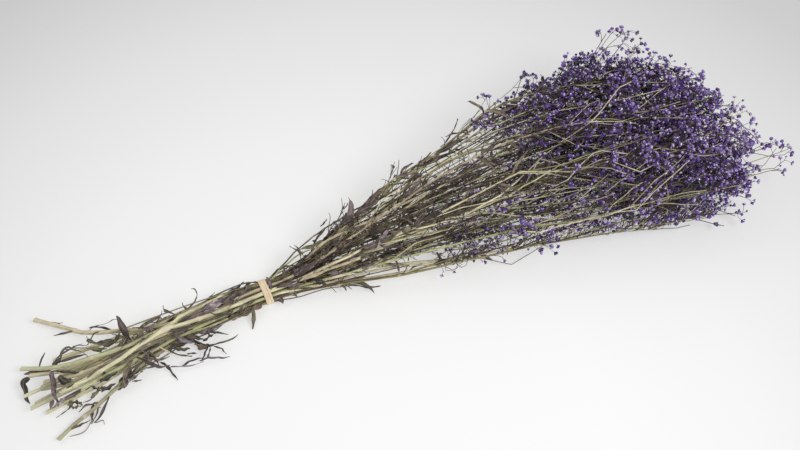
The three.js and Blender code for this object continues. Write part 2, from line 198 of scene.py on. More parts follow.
# Each lamp's name, place, target, width and power, in metres and watts.
LAMPS = (
    ("key", (0.75, -0.85, 1.35), (0.15, 0, 0), 0.8, 14),
    ("back", (-0.5, 0.7, 1.4), (0.1, 0, 0), 0.9, 3),
)

# The leaves that stand out: colour, half width, and the way of the rib.
SEEN_LEAVES = [
    (1, 0.9, [(-179, 0, 16), (-178, 4, 17), (-174, 7, 18), (-170, 7, 18), (-168, 4, 19)]),
    (1, 1.2, [(-174, 5, 19), (-168, 3, 19), (-162, -1, 19), (-158, -6, 18), (-158, -9, 17),
        (-162, -10, 16)]),
    (3, 1.1, [(-180, -3, 17), (-173, -5, 20), (-164, -6, 22), (-158, -8, 24)]),
    (3, 0.7, [(-167, 6, 18), (-161, 5, 18), (-157, 2, 18), (-153, 4, 18), (-154, 8, 18), (-154, 11, 18)]),
    (1, 2.8, [(-154, 6, 21), (-150, 0, 21), (-143, -2, 21), (-136, -3, 21)]),
    (4, 1.8, [(-154, -2, 21), (-148, -4, 16), (-142, -2, 10)]),
    (1, 2.0, [(-143, -4, 19), (-137, -4, 20), (-129, -2, 21)]),
    (3, 1.4, [(-144, -1, 21), (-138, -1, 21), (-133, -3, 21)]),
    (3, 2.2, [(-177, -8, 32), (-181, -10, 32), (-185, -11, 32)]),
    (3, 3.0, [(-183, -18, 23), (-181, -24, 20), (-175, -22, 17)]),
    (0, 3.6, [(-187, -12, 22), (-190, -17, 22), (-190, -25, 23), (-190, -33, 23), (-190, -39, 23),
        (-190, -44, 23)]),
    (3, 1.9, [(-180, -31, 22), (-177, -31, 23), (-173, -30, 23)]),
    (4, 3.8, [(-185, -39, 9), (-180, -38, 9), (-175, -39, 9), (-173, -44, 9)]),
    (1, 2.6, [(-184, -39, 5), (-181, -42, 6), (-175, -42, 5)]),
    (6, 2.8, [(-183, -38, 23), (-188, -41, 23), (-192, -44, 24)]),
    (6, 1.8, [(-196, -25, 7), (-196, -32, 7), (-199, -37, 7)]),
    (3, 2.6, [(-154, -32, 16), (-147, -31, 16), (-138, -29, 16)]),
    (1, 2.6, [(-158, -33, 7), (-152, -37, 8), (-143, -35, 9)]),
    (7, 2.2, [(-162, -33, 16), (-157, -37, 16), (-154, -42, 16)]),
    (4, 2.4, [(-166, -38, 4), (-161, -35, 6), (-154, -33, 8)]),
    (2, 1.6, [(-152, -42, 5), (-147, -39, 7), (-141, -39, 8), (-136, -36, 8)]),
    (2, 3.4, [(-138, -42, 9), (-134, -35, 11), (-129, -28, 14), (-124, -23, 16)]),
    (2, 2.2, [(-133, -38, 8), (-126, -34, 8), (-119, -33, 8)]),
    (3, 0.8, [(-130, -38, 8), (-126, -39, 8), (-122, -40, 8)]),
    (1, 1.5, [(-134, -5, 21), (-130, -1, 20), (-127, 3, 19)]),
    (3, 1.6, [(-126, -11, 25), (-122, -6, 23), (-119, 1, 21)]),
    (1, 1.3, [(-131, -10, 22), (-127, -8, 24), (-123, -5, 25)]),
    (0, 1.6, [(-122, -13, 16), (-119, -11, 14), (-116, -9, 12)]),
    (7, 1.4, [(-110, -12, 25), (-107, -12, 20), (-103, -9, 14)]),
    (6, 2.1, [(-106, -3, 16), (-102, -2, 19), (-97, -1, 22)]),
    (1, 1.3, [(-111, -4, 28), (-104, 1, 24), (-97, 3, 21), (-90, 5, 21)]),
    (3, 1.0, [(-99, 5, 16), (-95, 8, 14), (-92, 10, 12)]),
    (0, 1.8, [(-75, -8, 20), (-63, -6, 20), (-53, -6, 20), (-47, -8, 20)]),
    (7, 1.6, [(-78, -6, 19), (-70, -5, 20), (-59, -5, 20)]),
    (0, 1.7, [(-85, -17, 22), (-82, -20, 19), (-77, -24, 15), (-71, -25, 11)]),
    (7, 1.7, [(-85, -18, 24), (-77, -16, 21), (-69, -16, 18)]),
    (3, 2.2, [(-76, -22, 19), (-69, -24, 19), (-63, -29, 19)]),
    (3, 1.8, [(-64, -27, 12), (-57, -24, 12), (-52, -24, 12)]),
    (7, 0.7, [(-58, -24, 11), (-57, -20, 12), (-55, -17, 13)]),
    (2, 3.0, [(-71, -23, 6), (-67, -30, 6), (-60, -29, 7)]),
    (3, 2.4, [(-94, -23, 10), (-86, -21, 10), (-77, -23, 10)]),
    (1, 2.2, [(-90, -20, 9), (-84, -26, 9), (-76, -28, 9)]),
    (0, 0.9, [(-80, -30, 5), (-76, -31, 6), (-72, -33, 6)]),
    (3, 1.2, [(-70, -42, 8), (-66, -36, 8), (-61, -31, 8)]),
    (2, 1.2, [(-66, -43, 11), (-62, -38, 11), (-59, -32, 11)]),
    (0, 0.9, [(-97, -35, 2), (-93, -36, 4), (-88, -39, 4), (-82, -40, 3), (-75, -41, 3), (-69, -41, 3)]),
    (3, 1.2, [(-87, -38, 3), (-82, -38, 6), (-75, -37, 6), (-68, -39, 5)]),
    (3, 1.3, [(-103, -30, 8), (-99, -34, 6), (-97, -40, 4), (-94, -49, 2)]),
    (5, 0.5, [(-117, -17, 11), (-110, -24, 11), (-105, -29, 8), (-101, -32, 7)]),
    (7, 1.4, [(-120, -22, 15), (-112, -28, 15), (-107, -30, 6), (-112, -31, 5), (-120, -28, 6)]),
    (1, 1.4, [(-109, -21, 15), (-106, -26, 11), (-105, -31, 6)]),
    (1, 1.1, [(-27, 6, 22), (-21, 7, 23), (-13, 7, 21), (-5, 7, 19)]),
    (7, 2.0, [(-39, -3, 19), (-33, 0, 19), (-26, 2, 19), (-20, 4, 19)]),
    (0, 1.4, [(-37, -9, 18), (-30, -7, 18), (-23, -4, 18)]),
    (3, 2.0, [(32, 20, 34), (36, 15, 36), (38, 9, 34), (36, 5, 30), (34, 0, 24), (28, -8, 24)]),
    (1, 1.2, [(36, 19, 36), (38, 14, 36), (40, 9, 34), (40, 5, 30), (38, 11, 8)]),
    (3, 3.0, [(36, 8, 25), (43, 9, 27), (49, 11, 28)]),
    (6, 1.7, [(40, 11, 32), (47, 12, 32), (55, 11, 32), (63, 9, 32)]),
    (0, 2.3, [(38, -1, 23), (44, 0, 26), (50, 0, 29)]),
    (0, 1.3, [(5, 8, 18), (6, 1, 18), (5, -5, 18)]),
    (2, 1.9, [(8, 3, 18), (16, 2, 19), (26, 4, 19)]),
    (7, 2.0, [(19, 7, 20), (24, 4, 21), (29, 5, 22)]),
    (7, 1.6, [(10, -5, 19), (18, -6, 20), (28, -7, 22)]),
    (0, 1.4, [(16, -3, 18), (20, -7, 17), (27, -8, 17), (33, -9, 17)]),
    (0, 1.8, [(55, -14, 29), (62, -15, 27), (69, -20, 26)]),
    (6, 0.6, [(64, -1, 32), (74, 9, 25), (81, 20, 17)]),
    (7, 1.9, [(55, 31, 12), (59, 27, 12), (66, 28, 12)]),
    (7, 2.2, [(50, 0, 28), (58, 2, 27), (68, 4, 27)]),
    (7, 2.0, [(67, -10, 34), (76, -11, 38), (87, -11, 41)]),
    (7, 2.2, [(64, 6, 39), (71, 5, 39), (80, 5, 39)]),
    (7, 1.0, [(63, 27, 38), (68, 28, 42), (70, 29, 44)]),
    (0, 1.3, [(75, 28, 36), (79, 27, 38), (84, 26, 34)]),
    (5, 1.4, [(159, 47, 48), (153, 37, 50), (148, 31, 48), (147, 28, 44)]),
    (7, 0.7, [(150, 53, 44), (145, 45, 46), (141, 39, 46), (135, 36, 42)]),
    (7, 0.7, [(142, 42, 44), (144, 36, 46), (149, 31, 44)]),
    (3, 0.6, [(159, 34, 54), (158, 29, 52), (162, 27, 50), (163, 22, 48)]),
    (0, 1.5, [(100, 19, 52), (103, 13, 51), (108, 10, 51)]),
    (6, 1.9, [(117, 7, 54), (126, 11, 45), (134, 14, 37), (142, 16, 28)]),
    (7, 1.4, [(115, 7, 45), (124, 13, 37), (132, 14, 28)]),
    (6, 2.0, [(114, -3, 48), (109, -8, 48), (103, -13, 48), (99, -17, 48)]),
    (7, 1.8, [(109, -13, 50), (115, -12, 52), (122, -11, 54)]),
    (0, 1.9, [(105, -13, 41), (113, -15, 41), (120, -18, 41), (124, -24, 41), (124, -31, 41)]),
    (3, 0.8, [(104, -19, 33), (110, -20, 35), (115, -24, 37), (118, -30, 40), (118, -34, 40)]),
    (0, 1.5, [(108, -16, 14), (112, -20, 16), (117, -23, 14)]),
    (0, 1.2, [(116, -18, 16), (115, -24, 16), (115, -28, 12)]),
    (7, 1.6, [(94, 0, 12), (101, -4, 19), (109, -8, 25)]),
    (3, 0.8, [(89, -15, 20), (94, -14, 22), (101, -14, 24)]),
    (3, 0.7, [(82, -24, 32), (89, -22, 28), (95, -18, 25)]),
    (4, 0.8, [(75, -15, 7), (80, -16, 7), (87, -18, 7)]),
    (7, 2.0, [(141, -12, 27), (152, -9, 21), (163, -9, 15)]),
    (7, 1.8, [(147, -25, 33), (155, -25, 33), (163, -28, 33)]),
    (7, 2.2, [(153, -19, 50), (161, -20, 52), (171, -23, 54)]),
    (0, 1.6, [(152, 12, 72), (156, 11, 72), (162, 12, 72)]),
    (7, 1.2, [(161, 8, 80), (170, 19, 61), (179, 27, 43)]),
    (5, 1.6, [(191, 14, 64), (198, 18, 64), (205, 22, 64)]),
    (5, 1.4, [(183, -22, 48), (189, -22, 52), (195, -21, 54)]),
    (1, 1.5, [(-75, 3, 18), (-64, 2, 22), (-58, 5, 26), (-55, 9, 30), (-56, 13, 33), (-59, 14, 31)]),
    (1, 1.4, [(-78, 2, 18), (-85, 7, 20), (-87, 8, 23), (-86, 10, 27)]),
    (1, 1.6, [(-15, -13, 8), (-17, -19, 5), (-21, -27, 1.5)]),
    (5, 3.2, [(-7, -12, 9), (-17, -11, 8), (-27, -13, 6), (-35, -13, 4)]),
    (7, 2.6, [(2, -6, 10), (8, -9, 9), (11, -12, 7), (11, -15, 5)]),
    (0, 2.2, [(-10, 7, 20), (-16, 1, 22), (-22, -4, 22), (-30, -6, 20)]),
    (6, 3.0, [(-36, 0, 18), (-46, -2, 21), (-55, -2, 20)]),
    (6, 2.4, [(-42, -6, 18), (-52, -6, 19), (-61, -6, 18)]),
    (0, 2.2, [(-32, 2, 18), (-41, 1, 20), (-50, 0, 20)]),
    (1, 0.9, [(-58, -31, 6), (-49, -31, 7), (-42, -33, 8), (-34, -31, 10)]),
    (3, 1.1, [(-57, -32, 6), (-51, -35, 5), (-50, -39, 4), (-49, -41, 2)]),
    (0, 1.3, [(-72, -39, 3), (-63, -39, 4), (-55, -43, 3), (-47, -45, 3)]),
    (7, 2.8, [(-122, -5, 14), (-123, 4, 18), (-124, 12, 21), (-125, 17, 24)]),
    (1, 0.6, [(-154, 19, 6), (-150, 22, 9), (-144, 21, 11), (-136, 19, 12), (-129, 20, 15), (-126, 17, 16)]),
    (3, 0.6, [(-201, 1, 5), (-197, 8, 8), (-194, 11, 9), (-191, 13, 11)]),
    (3, 3.0, [(-209, -3, 6), (-212, -3, 8), (-215, -6, 9), (-216, -12, 7), (-215, -17, 5), (-217, -21, 3),
        (-214, -24, 3)]),
    (5, 0.45, [(-173, -40, 5), (-167, -40, 4), (-160, -37, 5)]),
    (3, 0.7, [(-182, -38, 3), (-186, -40, 2), (-197, -43, 1)]),
    (4, 3.0, [(-131, -29, 8), (-138, -35, 6), (-143, -40, 4)]),
    (5, 0.6, [(-190, -64, 3), (-182, -65, 2.5), (-175, -63, 2.5), (-170, -57, 3), (-167, -52, 3)]),
    (7, 0.8, [(-171, -60, 3), (-165, -54, 4), (-162, -48, 4), (-160, -49, 4)]),
    (2, 0.5, [(-170, -58, 3), (-166, -61, 3), (-161, -59, 3), (-161, -64, 2)]),
    (1, 1.4, [(-170, -57, 3), (-168, -49, 4), (-164, -43, 5)]),
    (0, 2.8, [(55, 15, 18), (62, 15, 20), (68, 14, 20)]),
    (3, 1.1, [(154, -20, 10), (155, -26, 8), (155, -31, 6), (149, -30, 5)]),
    (7, 1.6, [(188, -33, 9), (193, -39, 8), (198, -44, 6)]),
    (7, 2.0, [(35, -6, 10), (46, -9, 9), (57, -8, 9)]),
    (2, 2.0, [(105, 13, 24), (116, 12, 26), (125, 14, 27)]),
    (7, 2.2, [(82, 15, 22), (92, 17, 24), (102, 15, 24)]),
]
# The stalks that stand out: colour, radius, and the way.
SEEN_STALKS = [
    (0, 1.6, [(-91, -9, 19), (-84, -6, 20), (-76, -2, 21), (-64, 0, 20), (-50, 3, 18), (-37, 7, 15),
        (-26, 10, 10)]),
    (1, 1.0, [(-78, -17, 14), (-63, -16, 12), (-50, -15, 11), (-38, -13, 9)]),
    (7, 0.6, [(-99, -20, 15), (-95, -26, 15), (-91, -31, 15)]),
    (6, 0.9, [(-138, -13, 20), (-129, -12, 20), (-120, -10, 20), (-111, -9, 20)]),
    (4, 0.75, [(6, 10, 11), (20, 14, 16), (34, 19, 23), (54, 24, 30), (65, 26, 34)]),
    (4, 0.7, [(65, 26, 34), (82, 29, 36), (94, 32, 38), (113, 33, 40), (130, 36, 42), (141, 42, 44),
        (153, 46, 46), (166, 50, 48), (179, 56, 50)]),
    (1, 0.8, [(6, 7, 13), (20, 11, 19), (31, 13, 24), (42, 16, 26)]),
    (2, 1.1, [(59, 10, 39), (72, 12, 41), (85, 12, 43), (99, 12, 45), (111, 12, 48), (127, 13, 52),
        (141, 13, 55), (156, 13, 60)]),
    (4, 0.55, [(127, 39, 12), (133, 28, 44), (144, 32, 48), (153, 36, 50), (161, 43, 50)]),
    (5, 0.6, [(69, 21, 34), (85, 24, 37), (98, 27, 40), (111, 26, 42), (123, 27, 44)]),
    (4, 0.6, [(142, 37, 42), (154, 40, 46), (168, 45, 50), (185, 50, 54), (201, 54, 60)]),
    (7, 0.9, [(115, 10, 22), (125, -4, 40), (138, -17, 58), (162, -19, 58)]),
    (0, 1.3, [(104, -13, 39), (115, -11, 39), (127, -10, 39), (141, -11, 39), (154, -11, 39)]),
    (0, 1.0, [(63, -13, 42), (76, -12, 42), (89, -9, 41), (102, -8, 41), (122, -4, 40)]),
    (2, 1.5, [(28, -8, 19), (44, -9, 24), (58, -10, 29), (71, -13, 34), (84, -15, 39)]),
    (0, 0.9, [(33, -6, 16), (49, -8, 26), (63, -9, 35)]),
    (0, 1.1, [(63, -20, 29), (81, -21, 29), (107, -15, 10), (132, -22, 10), (157, -31, 12), (179, -37, 14)]),
    (7, 1.2, [(6, -10, 11), (22, -10, 13), (46, -15, 15), (61, -14, 11), (83, -14, 8), (114, -20, 9),
        (153, -31, 10), (164, -31, 11), (190, -33, 13)]),
    (1, 0.55, [(124, -7, 10), (140, -16, 18), (164, -25, 19), (185, -32, 20)]),
    (7, 0.5, [(277, 4, 83), (294, 2, 97), (301, 0, 106), (308, 2, 111), (337, 20, 112), (352, 24, 108),
        (370, 31, 100)]),
    (0, 0.36, [(343, 26, 101), (356, 14, 100), (361, 1, 100)]),
    (7, 0.46, [(299, -3, 112), (317, -5, 105), (335, -7, 98), (348, -11, 91), (355, -14, 84)]),
    (0, 0.4, [(319, -6, 101), (339, -6, 101), (357, -5, 100), (374, -5, 100), (386, -5, 99)]),
    (2, 0.36, [(354, -9, 107), (367, -11, 104), (379, -11, 100), (391, -10, 97)]),
    (0, 0.42, [(247, -26, 95), (269, -29, 95), (284, -35, 96), (299, -43, 97), (309, -53, 97)]),
    (7, 0.5, [(257, -31, 77), (265, -35, 88), (277, -31, 96), (291, -26, 100), (299, -27, 101),
        (319, -36, 98)]),
    (1, 0.42, [(253, -23, 92), (262, -24, 96), (278, -25, 98), (296, -25, 99), (314, -24, 97),
        (326, -24, 94)]),
    (0, 0.42, [(282, 11, 71), (295, -1, 89), (300, -10, 100), (312, -16, 102), (328, -17, 97),
        (344, -14, 84)]),
    (7, 0.42, [(280, -71, 71), (288, -67, 66), (298, -61, 66), (307, -59, 69), (316, -58, 77),
        (321, -61, 88)]),
    (7, 0.44, [(311, -76, 72), (318, -74, 78), (330, -70, 83), (343, -66, 87), (359, -61, 90), (372, -56, 91),
        (386, -54, 92), (401, -52, 91)]),
    (2, 0.5, [(230, -53, 60), (252, -53, 65), (268, -53, 69), (285, -55, 74), (300, -57, 78)]),
    (7, 0.55, [(231, -60, 61), (248, -62, 64), (262, -65, 66), (276, -67, 68), (287, -70, 69), (304, -70, 70),
        (321, -71, 70)]),
    (0, 0.4, [(321, -71, 71), (328, -73, 71), (346, -73, 70), (364, -76, 70), (378, -79, 69)]),
    (0, 0.36, [(328, -74, 72), (341, -79, 70), (354, -84, 68), (366, -88, 66)]),
    (2, 0.5, [(240, -57, 35), (251, -61, 44), (265, -64, 52), (278, -65, 60), (285, -69, 69)]),
    (4, 0.4, [(267, -38, 6), (286, -42, 7), (297, -46, 7), (310, -54, 7), (324, -60, 7), (342, -69, 8),
        (365, -77, 9), (377, -79, 10)]),
    (2, 0.36, [(357, -72, 65), (368, -68, 68), (376, -66, 71), (384, -66, 73)]),
    (0, 0.4, [(296, -37, 75), (308, -48, 77), (322, -59, 80)]),
    (7, 0.45, [(323, -53, 92), (339, -50, 90), (356, -47, 88), (375, -48, 86), (392, -50, 84)]),
    (0, 0.36, [(293, -34, 100), (309, -34, 94), (323, -40, 87), (333, -47, 81)]),
    (2, 0.4, [(328, -68, 98), (343, -63, 96), (359, -56, 94), (374, -47, 92)]),
    (0, 0.36, [(264, -33, 52), (275, -36, 61), (287, -39, 69), (295, -46, 78)]),
    (4, 0.4, [(319, 42, 99), (339, 53, 93), (355, 59, 87)]),
    (0, 0.36, [(333, -17, 88), (346, -18, 90), (359, -22, 93), (370, -29, 95)]),
    (0, 0.36, [(294, 37, 79), (306, 38, 80), (319, 36, 82), (331, 38, 83)]),
    (5, 0.3, [(335, 73, 83), (344, 72, 90), (362, 85, 92), (373, 91, 92)]),
    (5, 0.28, [(345, 72, 88), (360, 78, 91), (377, 85, 92), (385, 86, 92)]),
    (5, 0.26, [(359, 77, 91), (368, 75, 92), (376, 74, 92)]),
    (5, 0.28, [(350, 20, 99), (364, 20, 99), (386, 35, 95), (395, 36, 96)]),
    (5, 0.3, [(430, -48, 48), (445, -48, 46), (467, -43, 44), (475, -50, 44), (487, -57, 43)]),
    (4, 0.3, [(433, -45, 47), (448, -49, 46), (462, -57, 44), (475, -60, 43), (488, -57, 43)]),
    (4, 0.32, [(416, -52, 44), (430, -61, 43), (446, -66, 43), (460, -69, 42), (473, -65, 42)]),
    (5, 0.26, [(446, -66, 43), (455, -62, 43), (462, -58, 44), (472, -52, 44)]),
    (0, 0.32, [(407, -38, 91), (419, -33, 91), (446, -18, 66), (456, -17, 66)]),
    (4, 0.28, [(415, -30, 92), (423, -40, 92), (446, -33, 64), (452, -39, 62)]),
    (5, 0.3, [(408, -84, 18), (417, -86, 16), (424, -88, 15)]),
    (7, 0.62, [(176, -21, 61), (191, -23, 71), (209, -22, 76), (227, -16, 78), (258, 0, 75), (283, 12, 68)]),
    (0, 0.62, [(176, -21, 61), (200, -23, 70), (221, -25, 78), (227, -26, 85), (238, -28, 92),
        (252, -26, 97)]),
    (7, 0.6, [(180, -15, 48), (201, -23, 54), (219, -37, 59), (231, -46, 64), (241, -55, 70)]),
    (7, 0.5, [(255, -3, 80), (263, -13, 84), (270, -22, 86)]),
    (0, 0.55, [(119, -15, 46), (131, -17, 48), (146, -22, 50), (162, -24, 52), (178, -18, 54)]),
    (2, 0.5, [(131, -24, 48), (154, -26, 49), (170, -26, 50), (182, -24, 51), (208, -30, 52)]),
    (0, 0.5, [(157, -17, 68), (177, -18, 70), (200, -23, 73), (219, -25, 75)]),
    (1, 0.55, [(159, 34, 64), (171, 34, 65), (186, 32, 68), (203, 30, 73), (218, 27, 81), (227, 21, 91),
        (241, 12, 104)]),
    (0, 0.5, [(117, 21, 56), (135, 27, 56), (159, 40, 52), (182, 48, 56), (204, 57, 60), (214, 65, 62),
        (222, 68, 64)]),
    (4, 0.5, [(160, 41, 50), (176, 45, 54), (204, 57, 60), (228, 62, 66), (245, 62, 70), (268, 64, 76)]),
    (0, 0.5, [(204, 57, 60), (226, 65, 66), (243, 69, 72), (265, 76, 76)]),
    (4, 0.34, [(212, 62, 62), (226, 68, 66), (235, 72, 68)]),
    (5, 0.34, [(204, 57, 60), (206, 50, 58), (214, 50, 60)]),
    (6, 0.6, [(120, 27, 40), (137, 26, 43), (158, 37, 48), (171, 45, 50)]),
    (4, 0.5, [(131, 10, 22), (158, 17, 26), (179, 16, 32), (203, 23, 38), (223, 24, 44)]),
    (2, 0.6, [(162, 40, 40), (194, 43, 48), (211, 43, 54), (223, 40, 58), (241, 38, 60)]),
    (4, 0.4, [(154, -28, 5), (167, -32, 5), (189, -38, 6), (213, -53, 3), (250, -48, 10)]),
    (1, 0.55, [(102, -13, 6), (129, -20, 6), (155, -26, 6), (189, -38, 7), (216, -42, 9), (248, -46, 12),
        (264, -47, 13)]),
    (2, 0.45, [(164, -20, 6), (184, -26, 8), (201, -30, 10), (225, -42, 10)]),
]
# The flowers of the sprigs that stand out from the head.
SEEN_FLOWERS = [
    (375, 95, 92), (369, 91, 92), (371, 92, 93), (380, 92, 92), (372, 86, 92), (377, 86, 92), (384, 86, 92),
    (382, 84, 91), (389, 82, 92), (391, 83, 92), (379, 81, 92), (376, 80, 91), (383, 77, 92), (367, 73, 92),
    (370, 72, 91), (372, 67, 92), (379, 67, 93), (353, 76, 92), (354, 72, 91), (357, 73, 90), (359, 67, 92),
    (356, 66, 90), (376, 62, 94), (377, 55, 94), (384, 59, 95), (388, 57, 95), (381, 49, 95), (381, 42, 96),
    (372, 43, 97), (373, 36, 97), (394, 36, 96), (324, 87, 86), (334, 80, 88), (317, 79, 84), (321, 84, 85),
    (326, 78, 86), (329, 77, 87), (316, 69, 84), (472, -43, 44), (463, -48, 44), (467, -50, 45),
    (476, -51, 44), (486, -52, 43), (488, -57, 43), (482, -60, 43), (476, -63, 42), (470, -63, 43),
    (464, -59, 44), (466, -68, 42), (462, -71, 42), (478, -69, 42), (447, -10, 68), (453, -14, 67),
    (456, -20, 66), (456, -26, 65), (452, -31, 64), (451, -39, 62), (444, -47, 56), (438, -56, 46),
    (435, -67, 34), (431, -76, 28), (427, -84, 20), (427, -89, 18), (421, -89, 16), (421, -93, 12),
    (282, 86, 78), (241, 78, 74), (243, 76, 74), (248, 70, 74), (225, 54, 66), (230, 59, 67), (234, 56, 66),
    (236, 56, 68), (234, 61, 68), (247, 60, 70), (248, 53, 72), (261, 56, 76), (223, 61, 65), (251, -49, 6),
    (248, -27, 9), (209, -40, 5), (202, -33, 5), (308, -46, 14), (316, -47, 14), (326, -54, 12),
    (326, -58, 12), (333, -62, 10), (348, -66, 10), (356, -70, 12),
]
# Small clumps of flowers that stand out among the stalks: x, y, z and how many.
SEEN_CLUMPS = [
    (249, -11, 18, 12), (243, -4, 17, 8), (212, -27, 68, 7), (275, -20, 50, 9), (278, -11, 22, 6),
    (223, -51, 60, 14), (244, -55, 44, 14), (201, -49, 57, 8), (213, -48, 58, 9), (233, -63, 40, 5),
    (293, -73, 68, 5), (303, -77, 62, 4), (188, -7, 72, 4), (218, 47, 85, 5), (226, 45, 86, 7),
    (253, 19, 70, 6), (238, 43, 56, 4), (288, -6, 79, 9), (303, -32, 95, 9), (322, -7, 96, 8),
    (322, -62, 77, 7), (183, -45, 36, 3), (293, 11, 98, 7), (275, -60, 79, 6), (267, 6, 58, 6),
    (327, -73, 70, 14), (313, -80, 72, 8), (345, -75, 42, 8), (361, 67, 80, 8), (337, 67, 89, 8),
    (360, 47, 97, 7), (367, -82, 41, 6), (379, -53, 94, 8), (402, -40, 94, 8), (267, -33, 95, 7),
]
# How the stems in view turn and cross between their cut ends and the tie.
STEM_WAYS = {
    8: [(-194, 49, 7), (-174, 34, 7), (-158, 21, 8), (-144, 15, 9), (-127, 9, 11), (-109, 3, 12),
        (-93, 2, 13), (-75, 5, 13)],
    12: [(-214, 7, 9), (-194, -2, 12), (-175, -8, 16), (-160, -10, 19), (-139, -12, 20), (-117, -11, 20),
        (-102, -9, 20), (-86, -6, 19), (-67, 0, 16)],
    7: [(-208, -2, 9), (-192, -6, 9), (-179, -8, 9), (-167, -9, 9), (-149, -8, 9), (-122, -5, 9)],
    15: [(-180, -12, 16), (-165, -11, 17), (-148, -11, 18), (-130, -9, 17), (-108, -6, 16)],
    14: [(-209, -13, 12), (-197, -14, 13), (-184, -17, 14), (-168, -19, 15), (-150, -19, 16), (-123, -14, 16),
        (-105, -11, 16)],
    10: [(-215, -15, 8), (-199, -18, 9), (-184, -22, 12), (-172, -23, 15), (-158, -22, 17), (-144, -20, 17),
        (-124, -15, 15)],
    13: [(-205, -35, 16), (-194, -33, 18), (-182, -31, 20), (-167, -30, 22.5), (-151, -27, 23.5),
        (-133, -23, 23.5), (-114, -16, 23.5), (-102, -13, 23.5), (-91, -10, 23.5)],
    4: [(-200, -64, 4), (-184, -56, 5), (-167, -50, 6), (-148, -41, 7), (-131, -33, 8), (-110, -24, 8),
        (-88, -18, 8), (-60, -13, 7)],
}
MASK = 0xFFFFFFFF
SPREADING_STEP = 1.2207440846057596  # its powers spread points evenly in space


def chance(*keys):
    """The same number between 0 and 1 for the same whole-number keys."""
    h = 0x2F6E2B1
    for key in keys:
        h = ((h ^ ((key + 0x9E3779B9) & MASK)) * 0x85EBCA6B) & MASK
        h ^= h >> 13
        h = (h * 0xC2B2AE35) & MASK
        h ^= h >> 16
    return h / 2**32


def draws(kind, number=0):
    """The random draws of one piece."""
    return np.random.default_rng(SEEDS[kind] + number)


def mix(a, b, share):
    return a + (b - a) * share


def unit(vector):
    return vector / max(np.linalg.norm(vector), 1e-12)


def outward_way(turn):
    """The way straight out from the length of the bunch, at an angle from +Y."""
    return np.array([0, math.cos(turn), math.sin(turn)])


def make_stems():
    """The stems in their rows, each with its place in the tie."""
    stems = []
    for r, row in enumerate(ROWS):
        for c, (cut, spray, bend) in enumerate(row):
            tie = ((c - (len(row) - 1) / 2) * PITCH, FIRST_ROW + r * ROW_HEIGHT)
            stems.append({"index": len(stems), "tie": tie, "cut": cut, "spray": spray, "bend": bend})
    return stems


STEMS = make_stems()


def spread_at(x):
    """How far the fan has opened at x, from 0 at the tie to 1."""
    soft = 0.12
    u = min(max(x - BAND_WIDTH, 0) / (FAN_LENGTH - BAND_WIDTH), 1)
    t = (math.hypot(u, soft) - soft) / (math.hypot(1, soft) - soft)
    return 1.5 * t - 0.5 * t**3


def stem_point(stem, x):
    """The middle line of a stem at x."""
    y, z = stem["tie"]
    cut = stem["cut"]
    if x < 0:
        share = (x / cut[0]) ** (stem["bend"] or SPLAY)
        return np.array([x, mix(y, cut[1], share), mix(z, cut[2], share)])
    share = spread_at(x)
    drift = DRIFT[0] * share + DRIFT[2] * max(x - DRIFT[1], 0)
    sway = 2 * share * math.sin(x / 38 + 6.3 * chance(stem["index"], 1))
    nod = 2 * share * math.cos(x / 44 + 6.3 * chance(stem["index"], 2))
    ahead = stem["spray"]
    return np.array([x, mix(y, ahead[0], share) + drift + sway, mix(z, ahead[1], share) + nod])


def stem_radius(stem, x):
    if x < 0:
        return mix(STEM_RADIUS, CUT_RADIUS, x / stem["cut"][0])
    return mix(STEM_RADIUS, TIP_RADIUS, min(max(x - 5, 0) / 400, 1))


def is_in_head(point):
    """Whether a point is inside the rounded block of the head."""
    along = (point[0] - HEAD_CENTRE[0] - HEAD_LEAN * (point[1] - HEAD_CENTRE[1])) / HEAD_HALF[0]
    parts = [along, *((point[1:] - HEAD_CENTRE[1:]) / HEAD_HALF[1:])]
    return sum(abs(part) ** HEAD_POWER for part in parts) < 1


class Room:
    """What is already placed, as round-ended rods, each with its stem and its piece."""

    def __init__(self):
        self.start = np.zeros((0, 3))
        self.end = np.zeros((0, 3))
        self.radius = np.zeros(0)
        self.stem = np.zeros(0, int)
        self.piece = np.zeros(0, int)
        self.names = {}

    def key(self, piece):
        return self.names.setdefault(piece, len(self.names))

    def add(self, stem, piece, rods):
        starts, ends, radii = zip(*rods)
        self.start = np.vstack([self.start, starts])
        self.end = np.vstack([self.end, ends])
        self.radius = np.append(self.radius, radii)
        self.stem = np.append(self.stem, [stem] * len(rods))
        self.piece = np.append(self.piece, [self.key(piece)] * len(rods))

    def near(self, rod, gap):
        """Which rods this one comes nearer to than a gap."""
        start, end, radius = rod
        u, v, w = end - start, self.end - self.start, start - self.start
        uu, uv, vv = u @ u, v @ u, (v * v).sum(1)
        uw, vw = w @ u, (v * w).sum(1)
        det = uu * vv - uv * uv
        s = np.where(det > 1e-9, np.clip((uv * vw - vv * uw) / np.where(det > 1e-9, det, 1), 0, 1), 0)
        t = np.where(vv > 0, np.clip((uv * s + vw) / np.where(vv > 0, vv, 1), 0, 1), 0)
        s = np.clip((uv * t - uw) / uu, 0, 1) if uu > 0 else s * 0
        away = w + s[:, None] * u - t[:, None] * v
        return np.sqrt((away * away).sum(1)) < radius + self.radius + gap

    def place(self, stem, piece, parent, rods):
        """Places a piece if its rods are clear of the other stems and, past its root, of its own."""
        other = self.stem != stem
        if any((self.near(rod, CLEARANCE) & other).any() for rod in rods):
            return False
        if any((self.near(rod, 0.1) & ~other).any() for rod in rods[1:]):
            return False
        start, end, radius = rods[0]
        own = ~other & (self.piece != self.key(parent))
        if (self.near((mix(start, end, 0.4), end, radius), 0.1) & own).any():
            return False
        self.add(stem, piece, rods)
        return True


